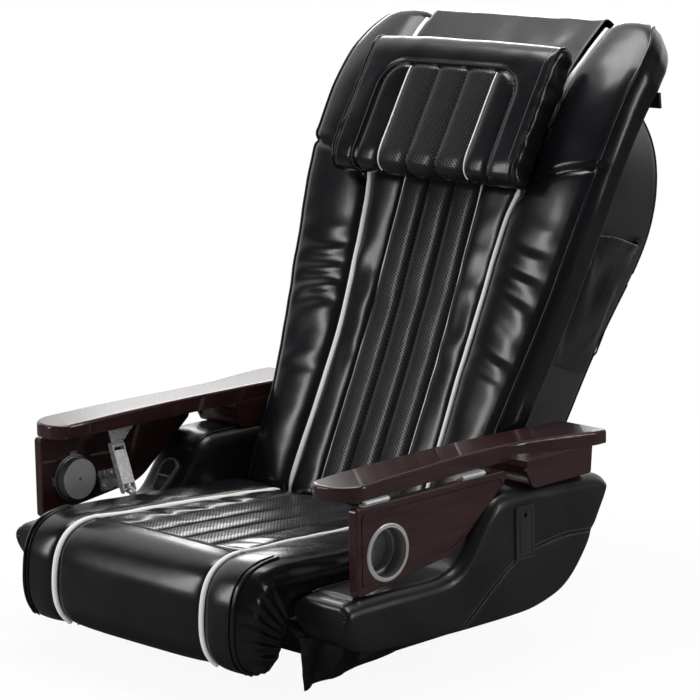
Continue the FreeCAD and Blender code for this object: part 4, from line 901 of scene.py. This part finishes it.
def back_swell(points, length, left, right):
    """Crowned channels and wings, the shoulder seam, flat under the flap, and the creases."""
    x, up = points[..., 0], length[:, None]
    edge, wide = back_piping[:, None], back_half[:, None]
    top = upper_face(x, left, right)
    wing = top * (np.abs(x) >= edge)
    out = top * crowned(x, [-edge, -0.087, -0.029, 0.029, 0.087, edge],
                        [0.0060, 0.0075, 0.0075, 0.0075, 0.0060], 0.0045)
    band = np.clip((np.abs(x) - edge) / (wide - edge), 0, 1)
    out += wing * 0.010 * np.clip(1 - np.abs(2 * band - 0.95) ** 2.4, 0, 1)
    out -= top * 0.0045 * dent(np.abs(x) - edge, 0.006)
    past_seam = up - np.interp(np.abs(x), [0.180, 0.207, 0.225, 0.262, 0.301, 0.330],
                               [0.585, 0.608, 0.620, 0.633, 0.641, 0.649])
    out += wing * (0.0022 * dent(past_seam - 0.012, 0.010) - 0.0060 * dent(past_seam, 0.0055))
    under = (np.abs(x) < 0.200) / (1 + np.exp(-(up - 0.602) / 0.006))
    out = out * (1 - under * top) - 0.0022 * under * top
    near = slice(left - 8, right + 9)
    px = x[:, near]
    lean = np.exp(-((up - 0.385) / 0.135) ** 4)
    low_lean = np.exp(-((up - 0.10) / 0.10) ** 2)
    share = (np.abs(px) - edge) / (wide - edge)
    fold = np.sin(2 * math.pi * (up / 0.046 + 1.1 * curl(px * 5.0, up * 7.0, 0, 3) + 0.8 * share))
    bold = np.maximum(0, 0.5 + 0.8 * curl(px * 4.0, up * 11.0, 3.0, 4))
    shape = np.sin(math.pi * np.clip(share * 1.12 + 0.02, 0, 1))
    leant = (0.0036 * fold * bold * lean * shape
             + 0.0018 * curl(px * 16, up * 22, 0, 8) * (0.35 + 0.65 * np.maximum(lean, low_lean))
             + 0.0040 * curl(px * 6, up * 9, 0, 12) * low_lean)
    strip = 0.0030 * curl(px * 26, up * 22, 0, 6) * (0.35 + 0.65 * lean)
    channel = 0.0020 * curl(px * 8, up * 16, 0, 7) * (0.4 + 0.6 * lean) * (1 - under[:, near])
    out[:, near] += np.where(share > 0, leant, np.where(np.abs(px) > 0.087, strip, channel))
    return out


back, back_cover = skin("back_leather", upper, lower, back_half,
                        [[-edge, -0.087, -0.029, 0.029, 0.087, edge] for edge in back_piping],
                        ((0.026, 0.012), [18, 12, 12, 12, 12, 12, 18], (10, 14, 6)), back_swell)
black_leather = leather("black_leather_back", glossy_black, (0.19, 0.25), holes=(0.0865, 0.0, 0.80),
                        stitches=[(place, 0.0, 0.8, stitch) for place in (-0.0255, 0.0325, 0.0905)])
back.data.materials.append(black_leather)
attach(back, "back")
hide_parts("back_cushion")
piping_lift = np.interp(back_cover.length, [0.585, 0.604, 0.842, 0.858],
                        [0.0072, 0.0010, 0.0010, 0.0072])
for side, sign in sides:
    piping("back_piping_" + side, back_cover, sign * back_piping, piping_lift, 0.008,
           back_tall - 0.006, piping_radius, "back", 0.75)
    piping("back_line_" + side, back_cover, sign * 0.087, 0.0034, 0.008, 0.60, 0.0017, "back")
    edging("back_edge_welt_" + side, back_cover, slice(6, -4), back_cover.edge[sign] + 2 * sign,
           0.0006, 0.0028, black_leather, "back")


# Housing behind the back: two moulded shells covered in charcoal leathercloth, which meet at a
# beaded seam down each side.
charcoal = leather("charcoal_leathercloth", ((0.017, 0.017, 0.020), (0.027, 0.027, 0.031)),
                   (0.28, 0.38), coat=0.1)
wears(charcoal, "shell_surround", "shell_cover")
shells = [BVHTree.FromPolygons([v.co for v in nodes[name].data.vertices],
                               [tuple(face.vertices) for face in nodes[name].data.polygons])
          for name in ("shell_surround", "shell_cover")]


def shell_at(y, z):
    """How far out the housing's left face lies."""
    hits = [shell.ray_cast(Vector((0.6, y, z)), Vector((-1, 0, 0)))[0] for shell in shells]
    reach = [hit.x for hit in hits if hit is not None]
    return max(reach) if reach else 0.24


pocket_leather = leather("pouch_leather", ((0.006, 0.006, 0.008), (0.010, 0.010, 0.013)),
                         (0.17, 0.24))
parting = from_seat([(254, 114), (358, 232), (440, 359), (514, 455), (560, 532), (576, 612),
                     (566, 677), (536, 732)])
parting = spline(np.linspace(0.15, 6.9, 150), np.arange(8), parting)
for side, sign in sides:
    bead = [(sign * (shell_at(y, z) + 0.0004), y, z) for y, z in parting]
    welt("shell_seam_" + side, bead, (sign, 0.0, 0.0), 0.0017, pocket_leather, "back")


# Side pouch: a leather pocket gathered at its bound top edge and stitched to the shell on the
# other three sides, so that it bags and folds on the slant.
pouch_edges = [from_seat(edge) for edge in (
    [(279, 343), (310, 330), (350, 314), (389, 303)],
    [(367, 539), (408, 532), (456, 517), (514, 498)],
    [(279, 343), (298, 386), (319, 430), (343, 486), (367, 539)],
    [(389, 303), (417, 352), (452, 417), (484, 462), (514, 498)])]


def pouch_place(s, t):
    y, z = patch(s, t, *pouch_edges)
    edge = min(1.0, 4.5 * min(s, 1 - s)) * min(1.0, 4.0 * t)
    belly = math.sin(0.5 * math.pi * edge) * (0.55 + 0.45 * t)
    slant = s * 0.55 + t * 0.9
    fold = 0.0058 * belly * math.sin(2 * math.pi * (slant * 1.7 + 0.22 * math.sin(5 * s)))
    fold += 0.0034 * belly * curl(s * 4, t * 4, 0, 61) + 0.0004 * edge * curl(s * 14, t * 14, 0, 62)
    hem = 0.0016 if t > 0.93 else 0.0
    return (shell_at(y, z) + 0.0012 + 0.0085 * belly + fold + hem, y, z), (s * 0.15, t * 0.21)


pouch, pouch_area = sheet_of("pouch_leather", 96, 110, pouch_place, 0.0016, pocket_leather)
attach(pouch, "back")
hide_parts("side_pouch")
rim = np.array([pouch_place(float(s), 1.0)[0] for s in np.linspace(0.0, 1.0, 60)])
welt("pouch_binding", rim + (0.0006, 0.0, 0.0), (0.0, -0.3, 0.95), 0.0026, pocket_leather, "back")


# Webbing: the tail of the strap that the moulded buckle holds, which sticks out behind the
# wing, and a folded tab sewn into the pouch's rear corner.
woven = Finish("black_webbing")
weave = woven.add("ShaderNodeTexWave", {"bands_direction": "Z"},
                  {"Vector": woven.place, "Scale": 260.0, "Distortion": 0.6})
black_webbing = woven.close(woven.mix(weave, (0.006, 0.006, 0.007), (0.016, 0.016, 0.018)),
                            0.55 + weave * 0.15, weave, 0.0003)


def webbing(name, centre, size, lean):
    """A flat folded end of webbing with its edges eased."""
    mesh = bmesh.new()
    bmesh.ops.create_cube(mesh, size=1.0)
    bmesh.ops.scale(mesh, vec=size, verts=mesh.verts)
    bmesh.ops.subdivide_edges(mesh, edges=mesh.edges, cuts=3, use_grid_fill=True)
    for v in mesh.verts:
        v.co.y += 0.0016 * math.sin(v.co.x * 260.0)
    bmesh.ops.bevel(mesh, geom=[edge for edge in mesh.edges if edge.calc_face_angle(0.0) > 1.0],
                    offset=0.0008, segments=2, profile=0.5, affect="EDGES", material=-1)
    bmesh.ops.rotate(mesh, matrix=Matrix.Rotation(lean, 3, "X"), verts=mesh.verts)
    bmesh.ops.translate(mesh, vec=centre, verts=mesh.verts)
    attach(finished(name, mesh, black_webbing), "back")


webbing("strap_tail", (0.3175, 0.4210, 0.8390), (0.032, 0.0060, 0.026), 0.10)
webbing("pouch_tab", (shell_at(0.452, 0.596) + 0.0045, 0.4520, 0.5960), (0.010, 0.0130, 0.009),
        0.45)
wears(black_moulding, "strap_buckle")


# Flap: one thickness of leather sewn to the back's top edge. It lies over the top of the back,
# under the pillow, and its loose edges lift a little.
flap_half = 0.192
over = on_back(np.linspace(pillow_place - 0.104, back_tall - 0.012, 60), 0.0022)[0]
tip, tip_way, tip_out = on_back(back_tall, 0.0)
turn = np.linspace(0.15, math.pi - 0.15, 16)[:, None]
crest = (tip - 0.010 * tip_way - 0.034 * tip_out
         + 0.0365 * np.cos(turn) * tip_out + 0.0138 * np.sin(turn) * tip_way)
over = np.concatenate([over, crest])
way = np.gradient(over, axis=0)
way /= np.linalg.norm(way, axis=1, keepdims=True)
off = np.stack([-way[:, 1], way[:, 0]], axis=1)
run = run_along(over)


def flap_place(s, t):
    x = (s * 2 - 1) * flap_half
    place = t * run[-1]
    y, z, away, up = (np.interp(place, run, row) for row in (*over.T, *off.T))
    crease = 0.0027 * curl(x * 19, place * 5, 0, 21) + 0.0006 * curl(x * 34, place * 24, 0, 22)
    side = max(0.0, (abs(x) - 0.150) / 0.042)
    past_pillow = min(1.0, max(0.0, (place - 0.215) / 0.05))
    lift = 0.0010 + (crease + 0.0015 * side * side) * past_pillow
    return (x, y + away * lift, z + up * lift), (x, place)


plain_leather = leather("black_leather_plain", glossy_black, (0.20, 0.26),
                        stitches=[(place, 0.0, 0.5, 0.005) for place in (-0.1875, 0.1875)])
flap = sheet_of("flap_leather", 90, 96, flap_place, 0.0018, plain_leather)[0]
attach(flap, "back")
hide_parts("pillow_flap")


# Pillow: a wedge of soft foam in black leather, its front face edged with a double seam. An
# arched inset has the back's perforated channels, with a thin cream line each side of them.
centre, pillow_up, pillow_out = on_back(pillow_place, 0.0)
pillow_half = 0.209
pillow_seams = (-0.153, -0.098, -0.033, 0.033, 0.098, 0.153)
pillow_stations = [((-124, 26), (-124, 22)), ((-124.5, 39), (-121, 14)), ((-119, 52), (-112, 10)),
                   ((-104, 60), (-98, 9)), ((-78, 61.5), (-76, 8.5)), ((0, 61), (0, 6.5)),
                   ((70, 60), (70, 5.2)), ((99, 57), (98, 4.9)), ((114, 48), (112, 7)),
                   ((121, 36), (119, 15)), ((123, 28), (122.5, 23))]
upper, lower = (np.array(path) / 1000.0 for path in zip(*pillow_stations))
upper, lower = smoothed(run_along(upper), 110, upper, lower)
pillow_high = upper[:, 0]
upper, lower = (centre + path[:, :1] * pillow_up + path[:, 1:] * pillow_out
                for path in (upper, lower))


def arch(x, high):
    """How far a point of the pillow's face lies outside the arched inset."""
    radius = 0.048
    reach = np.abs(x) - (pillow_seams[-1] - radius)
    rise = high - (0.066 - radius)
    outside = np.hypot(np.maximum(reach, 0), np.maximum(rise, 0)) - radius
    return np.where((reach > 0) & (rise > 0), outside, np.maximum(reach, rise) - radius)


def pillow_swell(points, length, left, right):
    """Crowned channels inside the arch, a full border round it, and creased sides."""
    x, high = points[..., 0], pillow_high[:, None]
    top = upper_face(x, left, right, 2)
    gap = arch(x, high)
    out = top * (gap < 0) * crowned(x, pillow_seams, [0.0062] * 5, 0.0042, pinched=False)
    out -= top * 0.0050 * dent(gap, 0.0045)
    out += top * (gap >= 0) * 0.004 * np.clip(1 - (np.abs(x) / pillow_half) ** 6, 0, 1)
    out += 0.0012 * curl(x * 11, high * 13, 0, 31) * np.where(gap > 0, 1.0, 0.3)
    out += 0.0005 * curl(x * 30, high * 34, 0, 32) * np.where(gap > 0.004, 1.0, 0.2)
    side = np.abs(x) > pillow_half - 0.020
    side[:, left:right + 1] = False
    return out + side * 0.0040 * curl(0, high * 42, points[..., 1] * 30, 33)


def pillow_trace(points, left, right):
    x, high = points[..., 0], pillow_high[:, None]
    mark = np.stack([arch(x, high), high - np.abs(x)], axis=2)
    mark[:, :left] = 0.5
    mark[:, right + 1:] = 0.5
    return mark


pillow, pillow_cover = skin("pillow_leather", upper, lower,
                            tucked(pillow_half, upper, lower, 0.016, 0.04),
                            [pillow_seams] * len(upper),
                            ((0.010, 0.014), [14, 12, 14, 14, 14, 12, 14], (12, 20, 5)),
                            pillow_swell, pillow_trace)
pillow_top = float(np.interp(0.060, pillow_high, pillow_cover.length))
pillow_leather = leather("black_leather_pillow", glossy_black, (0.20, 0.26),
                         holes=(0.0975, 0.0, pillow_top),
                         stitches=((0.0365, 0.0, pillow_top, stitch),
                                   (-0.0295, 0.0, pillow_top, stitch),
                                   (0.1935, 0.02, 0.3, 0.005), (-0.1935, 0.02, 0.3, 0.005)),
                         traced=(0.0035, -0.0035))
pillow.data.materials.append(pillow_leather)
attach(pillow, "pillow")
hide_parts("headrest_pillow")
for side, sign in sides:
    piping("pillow_line_" + side, pillow_cover, sign * 0.098, 0.0026, 0.010, pillow_top, 0.0015,
           "pillow")
    edging("pillow_edge_welt_" + side, pillow_cover, slice(4, -3),
           pillow_cover.edge[sign] + 2 * sign, 0.0004, 0.0024, plain_leather, "pillow")
